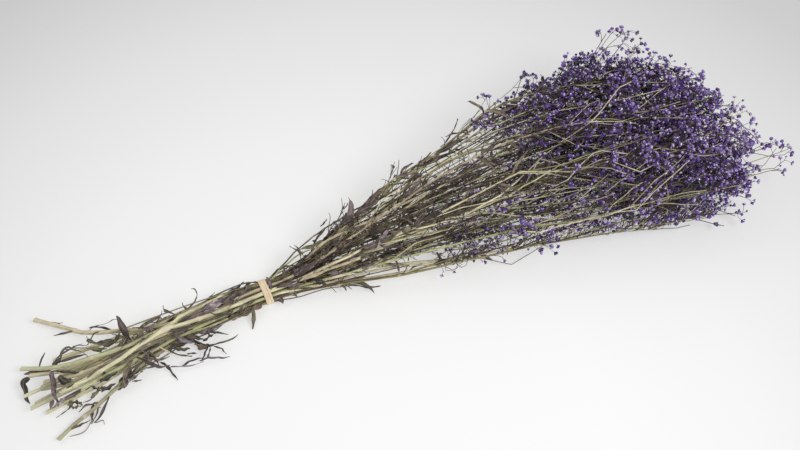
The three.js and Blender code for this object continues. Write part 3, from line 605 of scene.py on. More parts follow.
ROOM = Room()
PARENTS = []  # lines that branches and twigs can grow from: (stem, piece, points)
BRANCHES = []
TWIGS = []
LEAVES = []
FINE = {}  # the real stalk of each axis and branch


def rods_along(points, radius):
    return [(a, b, radius) for a, b in zip(points, points[1:])]


def flower_room(flower):
    return (flower, flower, FLOWER_RADIUS)


def bezier(a, b, c, steps):
    t = np.linspace(0, 1, steps + 1)[:, None]
    return (1 - t) ** 2 * a + 2 * (1 - t) * t * b + t**2 * c


def divided(points, steps):
    return np.array([mix(a, b, i / steps) for a, b in zip(points, points[1:]) for i in range(steps)])


def angle_between(a, b):
    return math.acos(min(max(a @ b / max(np.linalg.norm(a) * np.linalg.norm(b), 1e-12), -1), 1))


def root_on(line, target, rise):
    """The last point of a line from which a straight way to the target rises no more than an angle."""
    root = line[0]
    for here, after in zip(line, line[1:]):
        if angle_between(after - here, target - here) > rise:
            break
        root = here
    return root


def grow_stem(stem):
    """Places a stem's main line, with the flower at its end."""
    end = FAN_LENGTH
    while end < 430 and is_in_head(stem_point(stem, end + 16)):
        end += 4
    cut = stem["cut"][0]
    bends = (0.86, 0.7, 0.5) if stem["bend"] else (0.65, 0.3)
    xs = [cut, *(share * cut for share in bends), -8, 8, 40, 80, 120, 165, 210, 260, mix(260, end, 0.5), end]
    points = [stem_point(stem, x) for x in xs]
    radii = [stem_radius(stem, x) for x in xs]
    stem["end"] = end
    stem["tip"] = stem_point(stem, end + 8)
    way = [*points, stem["tip"]]
    rods = [(a, b, r) for a, b, r in zip(way, way[1:], radii)]
    ROOM.add(stem["index"], (stem["index"], "axis"), [*rods, flower_room(stem["tip"])])
    line = divided(points, 8)
    PARENTS.append((stem, (stem["index"], "axis"), line[line[:, 0] > 45]))


def flower_points():
    """The middles of the solid flowers: the strays, and evenly spread ones in the head."""
    taken = np.array([stem["tip"] for stem in STEMS])
    found = np.array(STRAYS, float)
    n = 0
    while len(found) < FLOWERS:
        n += 1
        u, v, w = ((0.5 + n / SPREADING_STEP**k) % 1 for k in (1, 2, 3))
        point = np.array([
            HEAD_CENTRE[0] + HEAD_HALF[0] * (2.6 * u - 1.3),
            HEAD_CENTRE[1] + HEAD_HALF[1] * (2 * v - 1),
            mix(FLOOR, HEAD_CENTRE[2] + HEAD_HALF[2], w),
        ])
        away = np.linalg.norm(np.vstack([taken, found]) - point, axis=1)
        if away.min() > SPACING and is_in_head(point):
            found = np.vstack([found, point])
    return found


def beside(stem, point):
    """How far a point is from the main line of a stem, across the bunch."""
    at = stem_point(stem, min(point[0], stem["tip"][0]))
    return math.hypot(at[1] - point[1], at[2] - point[2])


def side_of(stem, point):
    """On which side of a stem a point is, as an angle."""
    at = stem_point(stem, min(point[0], stem["tip"][0]))
    return math.atan2(point[2] - at[2], point[1] - at[1])


def grow_branch(stem, number, flower):
    """Grows a branch from a stem to a flower, if there is room for it."""
    name = (stem["index"], "branch", number)
    axis = PARENTS[stem["index"]]
    for rise in BRANCH_RISES if number % 2 else LONG_BRANCH_RISES:
        root = root_on(axis[2], flower, rise)
        reach = flower - root
        middle = root + reach * 0.5 + np.array([0, reach[1], reach[2]]) * 0.2
        way = bezier(root, middle, flower, 3)
        rods = [*rods_along(way, BRANCH_RADIUS), flower_room(flower)]
        if ROOM.place(stem["index"], name, axis[1], rods):
            PARENTS.append((stem, name, divided(way, 8)))
            BRANCHES.append((stem, name, root, middle, flower))
            return True
    return False


def grow_twig(number, flower):
    """Grows a twig to a flower from the nearest line that leaves room for it."""
    order = sorted(PARENTS, key=lambda parent: np.linalg.norm(parent[2] - flower, axis=1).min())
    for nudge in NUDGES:
        end = flower + nudge
        for stem, piece, line in order[:6]:
            for rise in TWIG_RISES:
                root = root_on(line, end, rise)
                rods = [(root, end, TWIG_RADIUS), flower_room(end)]
                name = (stem["index"], "twig", number)
                if end[2] >= FLOOR and ROOM.place(stem["index"], name, piece, rods):
                    TWIGS.append((stem, piece, root, end))
                    return


def grow_leaf(stem, number, x, tip, arch):
    """Grows a leaf on a stem, if there is room for it."""
    root = stem_point(stem, x)
    middle = mix(root, tip, 0.5) + arch
    line = bezier(root, middle, tip, 4)
    if x < stem["cut"][0] + 5 or line[1:, 2].min() < LEAF_HALF * 0.8:
        return False
    rods = rods_along(line[[0, 2, 3, 4]], LEAF_HALF * 0.85)
    if not ROOM.place(stem["index"], (stem["index"], "leaf", number), (stem["index"], "axis"), rods):
        return False
    LEAVES.append((stem, root, middle, tip, unit(arch)))
    return True


def grow_outer_leaf(number, x, tip):
    """Grows an outer leaf on one of the stems nearest to it."""
    outward = unit(np.array([0, tip[1], tip[2] - 9]))
    nearest = sorted(STEMS, key=lambda stem: np.linalg.norm(stem_point(stem, x) - tip))[:4]
    for stem in nearest:
        for height in (5, -4, 2):
            if grow_leaf(stem, 100 + number, x, tip, outward * height + [0, 0, 2]):
                return


def grow_leaves(x, node):
    """Grows the leaves at one node of the bunch."""
    grown = 0
    for key in range(160):
        if grown == LEAVES_PER_NODE:
            return
        stem = STEMS[int(chance(node, key, 3) * len(STEMS))]
        turn = 2 * math.pi * chance(node, key, 4)
        outward = outward_way(turn)
        forward = -1 if x < 0 and chance(node, key, 5) < 0.4 else 1
        length = LEAF_LENGTH * (0.65 + 0.7 * chance(node, key, 6))
        lift = 0.22 + 0.5 * chance(node, key, 7)
        reach = forward * length * math.cos(lift)
        tip = stem_point(stem, x) + [reach, 0, 0] + outward * length * math.sin(lift)
        arch = outward * length * (0.26 - 0.4 * chance(node, key, 8))
        grown += grow_leaf(stem, node * LEAVES_PER_NODE + grown, x, tip, arch)


def grow_bunch():
    """Grows the bunch piece by piece, in the order of its solids."""
    for stem in STEMS:
        grow_stem(stem)
    flowers = flower_points()
    owner = [min(STEMS, key=lambda stem: beside(stem, p))["index"] for p in flowers]
    loose = []
    for stem in STEMS:
        own = [p for p, index in zip(flowers, owner) if index == stem["index"]]
        own.sort(key=lambda p: side_of(stem, p))
        for number, first in enumerate(range(0, len(own), BRANCH_FLOWERS)):
            group = sorted(own[first:first + BRANCH_FLOWERS], key=lambda p: -p[0])
            loose += group[1:] if grow_branch(stem, number, group[0]) else group
    for number, (x, *tip) in enumerate(OUTER_LEAVES):
        grow_outer_leaf(number, x, np.array(tip, float))
    for node, x in enumerate(LEAF_NODES):
        grow_leaves(x, node)
    for number, flower in enumerate(loose):
        grow_twig(number, flower)


class Skin:
    """Gathers faces, with a tone for each vertex, and makes one object of them."""

    def __init__(self):
        self.verts, self.tones, self.faces, self.slots = [], [], {3: [], 4: []}, {3: [], 4: []}
        self.count = 0

    def add(self, verts, faces, tones, slot=0):
        """faces is a list of index arrays, each with 3 or 4 columns."""
        self.verts.append(verts)
        self.tones.append(np.broadcast_to(tones, len(verts)))
        for part in faces:
            self.faces[part.shape[1]].append(part + self.count)
            self.slots[part.shape[1]].append(np.full(len(part), slot))
        self.count += len(verts)

    def make(self, name, materials, node, slot):
        """One object of all the faces, in place of a node."""
        groups = [np.vstack(self.faces[k]) for k in (3, 4) if self.faces[k]]
        slots = np.concatenate([s for k in (3, 4) for s in self.slots[k]])
        verts = np.vstack(self.verts) / 1000
        sizes = np.concatenate([np.full(len(g), g.shape[1]) for g in groups])
        mesh = bpy.data.meshes.new(name)
        mesh.vertices.add(len(verts))
        mesh.vertices.foreach_set("co", verts.ravel())
        mesh.loops.add(int(sizes.sum()))
        mesh.loops.foreach_set("vertex_index", np.concatenate([g.ravel() for g in groups]))
        mesh.polygons.add(len(sizes))
        mesh.polygons.foreach_set("loop_start", np.concatenate([[0], np.cumsum(sizes)[:-1]]))
        mesh.polygons.foreach_set("material_index", slots)
        mesh.polygons.foreach_set("use_smooth", np.ones(len(sizes), bool))
        tone = mesh.attributes.new("tone", "FLOAT", "POINT")
        tone.data.foreach_set("value", np.concatenate(self.tones).astype(np.float32))
        mesh.update(calc_edges=True)
        mesh.validate()
        obj = bpy.data.objects.new(name, mesh)
        bpy.context.scene.collection.objects.link(obj)
        for material in materials:
            mesh.materials.append(material)
        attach(obj, "root")
        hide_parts(node)
        return obj


def unit_rows(vectors):
    return vectors / (np.linalg.norm(vectors, axis=-1, keepdims=True) + 1e-12)


def keep_inside(points, margin):
    """Points moved back to inside the solids' box."""
    return np.clip(points, CAD_BOX[0] + margin, CAD_BOX[1] - margin)


def tubes(points, radii, sides):
    """Closed round tubes through points[tube, step], all with as many steps: (vertices, faces)."""
    points, radii = np.asarray(points, float), np.asarray(radii, float)
    count, steps = points.shape[:2]
    along = unit_rows(np.gradient(points, axis=1))
    steep = np.abs(unit_rows(points[:, -1] - points[:, 0])[:, 2]) > 0.92
    reference = np.where(steep[:, None], [1.0, 0, 0], [0, 0, 1.0])
    side = unit_rows(np.cross(reference[:, None], along))
    up = np.cross(along, side)
    angle = np.pi / 2 + 2 * np.pi * np.arange(sides) / sides
    rings = points[:, :, None] + radii[:, :, None, None] * (
        side[:, :, None] * np.cos(angle)[:, None] + up[:, :, None] * np.sin(angle)[:, None]
    )
    step, k = np.meshgrid(np.arange(steps - 1) * sides, np.arange(sides), indexing="ij")
    after = (k + 1) % sides
    quads = np.stack([step + k, step + after, step + sides + after, step + sides + k], -1).reshape(-1, 4)
    fan = np.arange(1, sides - 1)
    low = np.stack([fan * 0, fan + 1, fan], -1)
    high = np.stack([fan * 0, fan, fan + 1], -1) + (steps - 1) * sides
    offset = (np.arange(count) * steps * sides)[:, None, None]
    faces = [(quads + offset).reshape(-1, 4), (np.vstack([low, high]) + offset).reshape(-1, 3)]
    return rings.reshape(-1, 3), faces


def add_lines(skin, lines, radii, sides, kinds, slot=0):
    """Thin stalks: each line is a list of points, radii are those at its start and its end."""
    if not len(lines):
        return
    lines = keep_inside(np.array(lines), 0.6)
    thickness = np.broadcast_to(mix(radii[0], radii[1], np.linspace(0, 1, lines.shape[1])), lines.shape[:2])
    verts, faces = tubes(lines, thickness, sides)
    skin.add(verts, faces, np.repeat(np.broadcast_to(kinds, len(lines)), lines.shape[1] * sides), slot)


def interpolated(at, places, points):
    """Points of a way at some places, where its own points stand at theirs."""
    return np.stack([np.interp(at, places, column) for column in np.asarray(points).T], -1)


def kinked(rng, line, amount, knots=5):
    """A line with small bends at even places, where leaves or twigs grow from it."""
    bends = rng.normal(size=(knots, 3)) * amount
    bends[[0, -1]] = 0
    return line + interpolated(np.linspace(0, 1, len(line)), np.linspace(0, 1, knots), bends)


def curly_line(rng, root, heading, length, curl, steps):
    """A way that starts along a heading and bends this way and that."""
    along = unit(heading)
    side = unit(np.cross(along, [0.1, 0.2, 1.0]))
    pitch, yaw = curl * rng.normal(size=2) * (0.8, 0.5)
    waves, phase = rng.uniform(5, 13), rng.uniform(0, 6.3, 2)
    points = [np.array(root, float)]
    for k in range(steps):
        t = k / steps
        bend = (pitch + 0.8 * curl * math.sin(waves * t + phase[0])) / steps
        turn = (yaw + 0.6 * curl * math.sin(waves * 0.8 * t + phase[1])) / steps
        along = unit(along + np.cross(side, along) * bend + side * turn)
        side = unit(side - along * (side @ along))
        points.append(points[-1] + along * length / steps)
    points = np.array(points)
    points[:, 2] = np.maximum(points[:, 2], 0.9)
    return points


def outward_at_tie(stem):
    """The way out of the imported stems, or nothing for a stem inside."""
    away = np.array([np.array(stem["tie"]) - other["tie"] for other in STEMS])
    near = np.linalg.norm(away, axis=1) < 1.2 * PITCH
    return away[near].sum(0) / max(np.linalg.norm(away[near].sum(0)), PITCH)


def stem_joints(stem):
    """Where a stem has its swollen joints, by x."""
    joints = []
    x = stem["cut"][0] + 20 + 40 * chance(stem["index"], 20)
    while x < stem["end"] - 10:
        if abs(x) > 16:
            joints.append(x)
        x += 34 + 34 * chance(stem["index"], 21, len(joints), int(x + 500))
    return joints


def stem_way(stem, joints):
    """The middle line of a real stalk, which turns a little at each joint."""
    cut, end = stem["cut"][0] + 0.5, stem["end"] + 7.5
    near = [x + dx for x in joints for dx in (-3.2, -1.6, 0, 1.6, 3.2)]
    xs = np.unique(np.concatenate([np.arange(cut, end, 5.0), [end], near]))
    xs = xs[(xs >= cut) & (xs <= end)]
    knots = np.array(sorted([cut, -14, 14, *joints, end]))
    room = np.interp(knots, [-200, -120, -14, 14, 80, 200, 320, 440], [1.4, 1.8, 0, 0, 2.4, 4.6, 4.6, 1.5])
    strays = draws("stem line", stem["index"]).uniform(-1, 1, (len(knots), 2)) * room[:, None]
    points = np.array([stem_point(stem, x) for x in xs])
    points[:, 1:] += interpolated(xs, knots, strays)
    if stem["index"] in STEM_WAYS:
        way = np.array(STEM_WAYS[stem["index"]], float)
        share = np.interp(xs, [way[-1, 0], -18], [1, 0])[:, None]
        points[:, 1:] = mix(points[:, 1:], interpolated(xs, way[:, 0], way[:, 1:]), share)
    outward = outward_at_tie(stem) * STEM_RADIUS * (1 - SLIMNESS)
    points[:, 1:] += np.exp(-((xs / 30) ** 2))[:, None] * outward
    return points


def stem_line(stem):
    """A real stalk: its points, radii and joint swellings."""
    joints = stem_joints(stem)
    points = stem_way(stem, joints)
    xs = points[:, 0]
    slim = np.interp(xs, [-200, -60, 0, 60, 170, 300, 440], [0.74, 0.74, SLIMNESS, 0.64, 0.5, 0.42, 0.36])
    thick = 0.85 + 0.3 * chance(stem["index"], 23)
    radii = np.array([stem_radius(stem, x) for x in xs]) * slim * np.interp(np.abs(xs), [8, 60], [1, thick])
    swelling = np.zeros(len(xs))
    for x in joints:
        swelling = np.maximum(swelling, np.exp(-((xs - x) / 1.7) ** 2))
    if stem["index"] == TOP_STEM:
        wide = np.exp(-((xs - TOP_JOINT) / 4.5) ** 2)
        radii *= 1.12 + 0.5 * wide
        swelling = np.maximum(swelling, wide)
    radii *= 1 + 0.24 * swelling
    points[:, 2] = np.maximum(points[:, 2], radii + 0.1)
    return points, radii, swelling


def add_stem(skin, stem):
    """The main stalk: round, swollen and pale at its joints, and cut off at a slant."""
    sides = 10
    points, radii, swelling = stem_line(stem)
    verts, faces = tubes([points], [radii], sides)
    ring = verts[:sides]
    slant = 0.6 * (ring[:, 1] - points[0, 1]) * (1 if chance(stem["index"], 32) > 0.5 else -1)
    verts[:sides, 0] += np.maximum(slant, -0.4)
    kind = STEM_KINDS[stem["index"] % len(STEM_KINDS)]
    skin.add(verts, [faces[0], faces[1][sides - 2:]], kind + np.repeat(TONE_SPAN * swelling, sides))
    skin.add(ring.copy() + [0.02, 0, 0], [faces[1][:sides - 2]], 0.0, slot=1)
    return points


def fullness(stem):
    """How much dry stuff a stem carries in the fan: little at the two sides."""
    return 1 - 0.95 * min(max((abs(stem["spray"][0]) - 42) / 20, 0), 1)


def are_neighbours(a, b):
    """Whether two stems stand side by side in the tie."""
    return math.dist(STEMS[a]["tie"], STEMS[b]["tie"]) < 1.2 * PITCH


def tie_gaps():
    """The gaps of the tie: which stems stand round each, and the way out of the outer ones."""
    gaps = []
    for a in range(len(STEMS)):
        for b in range(a + 1, len(STEMS)):
            if not are_neighbours(a, b):
                continue
            thirds = [c for c in range(len(STEMS))
                      if c not in (a, b) and are_neighbours(a, c) and are_neighbours(b, c)]
            gaps += [((a, b, c), np.zeros(2)) for c in thirds if c > b]
            if len(thirds) < 2:
                outward = outward_at_tie(STEMS[a]) + outward_at_tie(STEMS[b])
                gaps.append(((a, b), outward / np.linalg.norm(outward)))
    return gaps


def add_companions(skins, spots):
    """Thin stalks beside the main ones, through the gaps of the tie, into the fan."""
    for number, (around, outward) in enumerate(tie_gaps()):
        rng = draws("companion", number)
        stems = [STEMS[k] for k in around]
        low = rng.uniform(-150, -40)
        at_side = min(fullness(stem) for stem in stems) < 0.4
        high = rng.uniform(40, 140) if at_side else rng.uniform(80, 300)
        xs = np.arange(low, high, 7.0)
        at_cut, at_end = rng.dirichlet(np.full(len(stems), 0.8), 2)
        lean = np.clip(np.where(xs < 0, xs / -190, xs / 300), 0, 1)[:, None]
        shares = mix(1 / len(stems), np.where(xs[:, None] < 0, at_cut, at_end), lean**0.8)
        tracks = np.array([[stem_point(stem, x) for x in xs] for stem in stems])
        line = kinked(rng, np.einsum("ij,jik->ik", shares, tracks), 1.9, 9)
        rise = np.interp(np.abs(xs), [0, 15, 60], [0.55, 1.0, 1.6])
        line[:, 1:] += outward * (STEM_RADIUS * rise)[:, None]
        size = (0.62 if len(stems) == 2 else 0.86) * rng.uniform(0.8, 1.0)
        radii = size * np.interp(xs, [-150, -12, 12, 80, 300], [1.2, 1.0, 1.0, 0.7, 0.4])
        line[:, 2] = np.maximum(line[:, 2], radii + 0.1)
        verts, faces = tubes([line], [radii], 7)
        skins[around[0]].add(verts, faces, np.full(len(verts), rng.choice(COMPANION_KINDS)))
        ahead = unit(line[-1] - line[-2])
        if line[-1][0] > 220:
            spots[around[0]].append((line[-1] + ahead * 6, ahead))


def snap(line, point):
    """The point of a line that is nearest to a point."""
    return line[np.argmin(((line - point) ** 2).sum(1))]


def density(point):
    """How thick the flowers stand: thinner towards the stems and at the end, fuller at the start."""
    inward = (point[0] - 245 + 0.28 * point[1] + 0.35 * (point[2] - 50)) / 105
    behind = min(max((point[1] - 10) / 25, 0), 1) * min(max((point[0] - 345) / 30, 0), 1)
    behind -= 0.7 * (point[1] > 45 and 265 < point[0] < 345)
    ahead = min(max((point[0] - 375) / 50, 0), 1)
    thick = (0.28 + 0.8 * min(max(inward, 0), 1)) * (1 - 0.5 * behind) * (1 - 0.46 * ahead)
    return thick * (1 if is_in_head(point) else 0.4)


def near_edge(x):
    """Where the near side of the head begins to draw in."""
    return np.interp(x, [310, 370, 385, 410], [-38, -52, -58, -76])


def beyond_corner(points):
    """How far points lie outside the slanting far corner of the head."""
    return np.maximum(np.asarray(points) @ [0.69, 0.66, 0.5] - 347, 0)


def is_past_surface(point, margin):
    """Whether a point of the head lies outside its drawn-in surface, by a margin on the near side."""
    return beyond_corner(point) > 0 or point[1] < near_edge(point[0]) - margin


def drawn_in(points):
    """Points of the head with its end, its far corner and its near side drawn in a little."""
    points = np.array(points, float)
    points[..., 1] += 0.75 * np.maximum(near_edge(points[..., 0]) - points[..., 1], 0)
    points[..., 1] -= 0.8 * beyond_corner(points)
    edge = HEAD_CENTRE[0] + 0.6 * HEAD_HALF[0] + HEAD_LEAN * (points[..., 1] - HEAD_CENTRE[1])
    points[..., 0] -= 0.65 * np.maximum(points[..., 0] - edge, 0)
    return points


def settled(flower):
    """A flower where it stands in the drawn-in head."""
    return drawn_in(flower) if is_in_head(flower) else flower


def cluster(rng, middle, facing):
    """The flowers round one solid flower: (branchlet lines, pedicel lines)."""
    branchlets, pedicels = [], []
    groups = max(1, round(CLUSTER_FLOWERS * density(middle) / 4))
    inside = is_in_head(middle)
    start = rng.uniform(0, 1)
    for g in range(groups):
        height = 1 - 2 * ((g + start) / groups % 1)
        turn = 2.39996 * (g + 9 * start)
        ring = math.sqrt(max(1 - height**2, 0))
        way = unit(np.array([ring * math.cos(turn), ring * math.sin(turn), height]) + 0.25 * facing)
        centre = keep_inside(middle + way * CLUSTER_SIZE * rng.uniform(0.4, 1.0), 2.8)
        if inside and not is_in_head(centre):
            centre = mix(middle, centre, 0.45)
        if inside:
            centre = drawn_in(centre)
        root = middle - facing * rng.uniform(3, 10)
        branchlets.append(bezier(root, mix(root, centre, 0.55) + facing * 1.2, centre, 3))
        for _ in range(rng.integers(3, 6)):
            out = unit(way + 0.75 * rng.normal(size=3))
            pedicels.append([centre, keep_inside(centre + out * rng.uniform(2.4, 4.6), 2.2)])
    return branchlets, pedicels


def add_blooms(bloom, rng, pedicels):
    """Pedicels, each with a flower at its end."""
    add_lines(bloom, pedicels, PEDICEL_RADII, 3, 0.8, 1)
    pedicels = np.array(pedicels)
    add_flowers(bloom, rng, pedicels[:, 1], pedicels[:, 1] - pedicels[:, 0])


def fill_share(end, before):
    """How thick the fine twigs stand round a point: before the head, low in its middle."""
    if before:
        return 0.95 if -42 < end[1] < 35 and end[2] < 0.33 * end[0] else 0.05
    return density(end) + 0.1


def fill_flowers(rng, end, before):
    """How many flowers a fine twig has."""
    if before:
        return int(rng.uniform() < (0.7 if end[1] < -10 else 0.25))
    return rng.integers(1, 5)


def add_fill(stalks, blooms, lines):
    """Fine dark twigs inside the head and just before it, each with a few flowers or buds; their near-black
    colour is partly painted shade.
    """
    for stem in STEMS:
        index = stem["index"]
        rng = draws("fill", index)
        roots = np.vstack([line[line[:, 0] > 150] for line in lines[index]])
        ahead = unit(stem_point(stem, stem["end"]) - stem_point(stem, stem["end"] - 60))
        twigs, pedicels = [], []
        for _ in range(FILL_TWIGS * 6):
            root = roots[rng.integers(len(roots))]
            way = unit(ahead + rng.normal(size=3) * (0.42 if root[0] > 265 else 0.75))
            end = root + way * (rng.uniform(14, 40) if root[0] > 265 else rng.uniform(10, 30))
            before = end[0] < 300 and not is_in_head(end)
            outside = is_past_surface(end, 18) or end[0] > 425 or end[2] < 3
            if outside or rng.uniform() > fill_share(end, before) or not (before or is_in_head(end)):
                continue
            bend = rng.normal(size=3) * (3 if before else 1.6)
            twigs.append([root, mix(root, end, 0.35) + bend, mix(root, end, 0.7) + bend, end])
            for _ in range(fill_flowers(rng, end, before)):
                out = unit(way + 0.9 * rng.normal(size=3))
                start = mix(root, end, rng.uniform(0.72, 1)) + bend * 0.3
                pedicels.append([start, keep_inside(start + out * rng.uniform(2.2, 5), 2.2)])
            if len(twigs) == FILL_TWIGS:
                break
        add_lines(stalks[index], twigs, (0.34, 0.22), 3, rng.choice(FILL_KINDS, len(twigs)))
        add_blooms(blooms[index], rng, pedicels)


def add_fuzz(stalks, leaves, lines):
    """Dark curly bits of dry leaf and twig between the stalks of the fan, their dark colour partly painted
    shade.
    """
    for stem in STEMS:
        index = stem["index"]
        rng = draws("fuzz", index)
        roots = np.vstack([line[(line[:, 0] > 40) & (line[:, 0] < 290)] for line in lines[index]])
        bits = []
        for number in range(round(FUZZ * fullness(stem))):
            root = roots[rng.integers(len(roots))]
            heading = unit(np.array([0.8, 0, 0]) + 0.4 * rng.normal(size=3))
            line = curly_line(rng, root, heading, rng.uniform(8, 30), rng.uniform(0.6, 2.4), 7)
            if number % 3:
                bits.append(line)
            else:
                half = rng.uniform(0.5, 1.5) if root[0] < 150 else rng.uniform(0.7, 1.9)
                add_leaf(leaves[index], rng, line, (0, 0, 1), half, rng.uniform(-1.5, 1.5),
                         rng.choice(SMALL_LEAF_KINDS), 3)
        add_lines(stalks[index], bits, (0.42, 0.24), 4, rng.choice(FUZZ_KINDS, len(bits)))


def petal(turn, base, middle, tip, width):
    """One petal as five points and three faces. base, middle and tip are (radius, height)."""
    across = np.array([-math.sin(turn), math.cos(turn), 0])
    out = np.array([math.cos(turn), math.sin(turn), 0])

    def at(place, offset):
        return out * place[0] + across * offset + np.array([0, 0, place[1]])

    points = [at(base, 0), at(middle, -width), at(middle, width), at(tip, -width * 0.6), at(tip, width * 0.6)]
    return np.array(points), np.array([[0, 2, 1], [1, 2, 4], [1, 4, 3]])


def flower_model(openness, seed):
    """A round double flower, 4 mm across, that faces +Z: its petals and its calyx."""
    rng = np.random.default_rng(seed)
    points, faces, tones = [], [], []
    layers = [
        (5, (0.35, 0.5), (1.6, 0.95), (2.05, 2.05), 1.12, 0.5),
        (4, (0.2, 0.8), (1.05, 1.9), (0.8, 2.75), 0.82, 1.0),
    ]
    for count, base, middle, tip, width, shade in layers:
        for k in range(count):
            turn = 2 * math.pi * (k + rng.uniform(-0.25, 0.25)) / count + shade * 7
            close = openness * rng.uniform(0.82, 1.12)
            mid = (middle[0] * close, middle[1] + 0.5 * (1 - close) + rng.uniform(-0.15, 0.15))
            end = (tip[0] * close, tip[1] + 1.1 * (1 - close) + rng.uniform(-0.4, 0.3))
            p, f = petal(turn, base, mid, end, width * rng.uniform(0.8, 1.15))
            faces.append(f + len(p) * len(points))
            points.append(p)
            # The inner petals' tips reach the pale part of the tone: pale petal edges, and also painted
            # highlight glints.
            tones.append(np.array([0.0, 0.5, 0.5, 1.0, 1.0]) * 0.5 + shade - 0.5)
    petals = (np.vstack(points), np.vstack(faces), np.concatenate(tones))
    return [petals, calyx_model(0.7 + 0.25 * openness)]


def rings_model(sides, profile):
    """A round body about Z through (radius, height) pairs."""
    angle = 2 * np.pi * np.arange(sides) / sides
    rings = [np.stack([r * np.cos(angle), r * np.sin(angle), np.full(sides, z)], -1) for r, z in profile]
    k = np.arange(sides)
    after = (k + 1) % sides
    quads = [np.stack([k + o, after + o, after + o + sides, k + o + sides], -1)
             for o in range(0, sides * (len(profile) - 1), sides)]
    return np.vstack(rings), np.vstack(quads)


def calyx_model(width):
    points, faces = rings_model(4, ((0.24, -0.2), (width, 0.9)))
    return points, faces, None


def bud_model():
    points, faces = rings_model(5, ((0.3, 0.0), (1.15, 1.1), (0.15, 2.5)))
    return [(points, faces, np.repeat([0.0, 0.4, 0.8], 5))]


# Flowers and a bud, each as parts of (points, faces, tones), and how often each is drawn.
MODELS = [
    flower_model(1.0, 1), flower_model(0.9, 2), flower_model(1.05, 3), flower_model(0.68, 4), bud_model(),
]
MODEL_SHARES = [0.22, 0.2, 0.16, 0.17, 0.25]


def add_flowers(skin, rng, ends, facings, size=1.0, painted_lift=0.0):
    """Flowers at the ends of their pedicels, brighter towards the end, and brighter on the near side and
    higher up as painted light; a lift adds more painted light.
    """
    kinds = rng.choice(len(MODELS), len(ends), p=MODEL_SHARES)
    for kind, parts in enumerate(MODELS):
        chosen = np.nonzero(kinds == kind)[0]
        if not len(chosen):
            continue
        up = unit_rows(facings[chosen])
        side = unit_rows(np.cross(up, unit_rows(rng.normal(size=up.shape))))
        scale = rng.uniform(0.72 * size, 1.1 * size, (len(up), 1, 1))
        basis = np.stack([side, np.cross(up, side), up], 1) * scale
        x, y, z = ends[chosen].T
        # Painted light: flowers higher up and on the near side, where the lamps fall, get brighter colours;
        # those towards the end do too.
        painted_light = np.clip((x - 300) / 260 + (z - 50) / 400 - y / 400, -0.08, 0.52)
        shade = np.clip(rng.uniform(0, 1, len(x)) ** 1.25 + painted_light * 0.6 + painted_lift, 0, 0.99)
        colour = np.floor(shade * len(PETAL_COLOURS))[:, None]
        for slot, (points, faces, tones) in enumerate(parts):
            verts = np.einsum("ni,kij->knj", points, basis) + ends[chosen][:, None]
            offset = (np.arange(len(chosen)) * len(points))[:, None, None]
            values = CALYX_TONE if tones is None else (colour + tones[None] * TONE_SPAN).ravel()
            verts = keep_inside(verts.reshape(-1, 3), 0.05)
            skin.add(verts, [(faces + offset).reshape(-1, faces.shape[1])], values, slot)


def add_leaf(skin, rng, line, facing, half, twist, kind, columns=5, folded=1.0):
    """A dry lance-shaped leaf along its rib: folded, twisted, with wavy edges."""
    steps = len(line)
    along = unit_rows(np.gradient(line, axis=0))
    ups = [np.array(facing, float)]
    for way in along:
        ups.append(unit(ups[-1] - way * (way @ ups[-1])))
    up = np.array(ups[1:])
    side = unit_rows(np.cross(up, along))
    t = np.linspace(0, 1, steps)
    turn = (twist * t**1.4)[:, None]
    side, up = side * np.cos(turn) + up * np.sin(turn), up * np.cos(turn) - side * np.sin(turn)
    width = half * np.sin(np.pi * (0.06 + 0.93 * t) ** 0.85) ** 0.85 + 0.12
    fold = rng.uniform(0.1, 1.0) * folded
    phase, waves = rng.uniform(0, 6.3, 2), rng.uniform(9, 18)
    spread = np.array([-1, -0.55, 0, 0.55, 1]) if columns == 5 else np.array([-1.0, 0, 1.0])
    rows = []
    for u in spread:
        ripple = 0.3 * half * u**2 * np.sin(waves * t + phase[0 if u < 0 else 1])
        rows.append(line + side * (u * width * (1 - 0.3 * fold * abs(u)))[:, None]
                    + up * (fold * abs(u) * width * 0.8 + ripple)[:, None])
    verts = keep_inside(np.stack(rows, 1).reshape(-1, 3), 0.3)
    i, j = np.meshgrid(np.arange(steps - 1) * columns, np.arange(columns - 1), indexing="ij")
    quads = np.stack([i + j, i + j + 1, i + j + columns + 1, i + j + columns], -1).reshape(-1, 4)
    skin.add(verts, [quads], kind + TONE_SPAN * np.tile(np.abs(spread), steps))


def add_solid_leaves(skins):
    """The leaves that the solids have, nearer to their stems."""
    for number, (stem, root, middle, tip, facing) in enumerate(LEAVES):
        rng = draws("solid leaf", number)
        axis = FINE[stem["index"], "axis"]
        middle, tip = mix(middle, snap(axis, middle), 0.35), mix(tip, snap(axis, tip), 0.45)
        line = kinked(rng, bezier(snap(axis, root), middle, tip, 11), 0.6, 4)
        add_leaf(skins[stem["index"]], rng, line, facing, rng.uniform(1.0, 2.2), rng.uniform(-1.3, 1.3),
                 rng.choice(SMALL_LEAF_KINDS))


def nearest_stem(point):
    """The stem nearest to a point, and how far it is from there."""
    return min(((stem["index"], np.linalg.norm(snap(FINE[stem["index"], "axis"], point) - point))
                for stem in STEMS), key=lambda pair: pair[1])


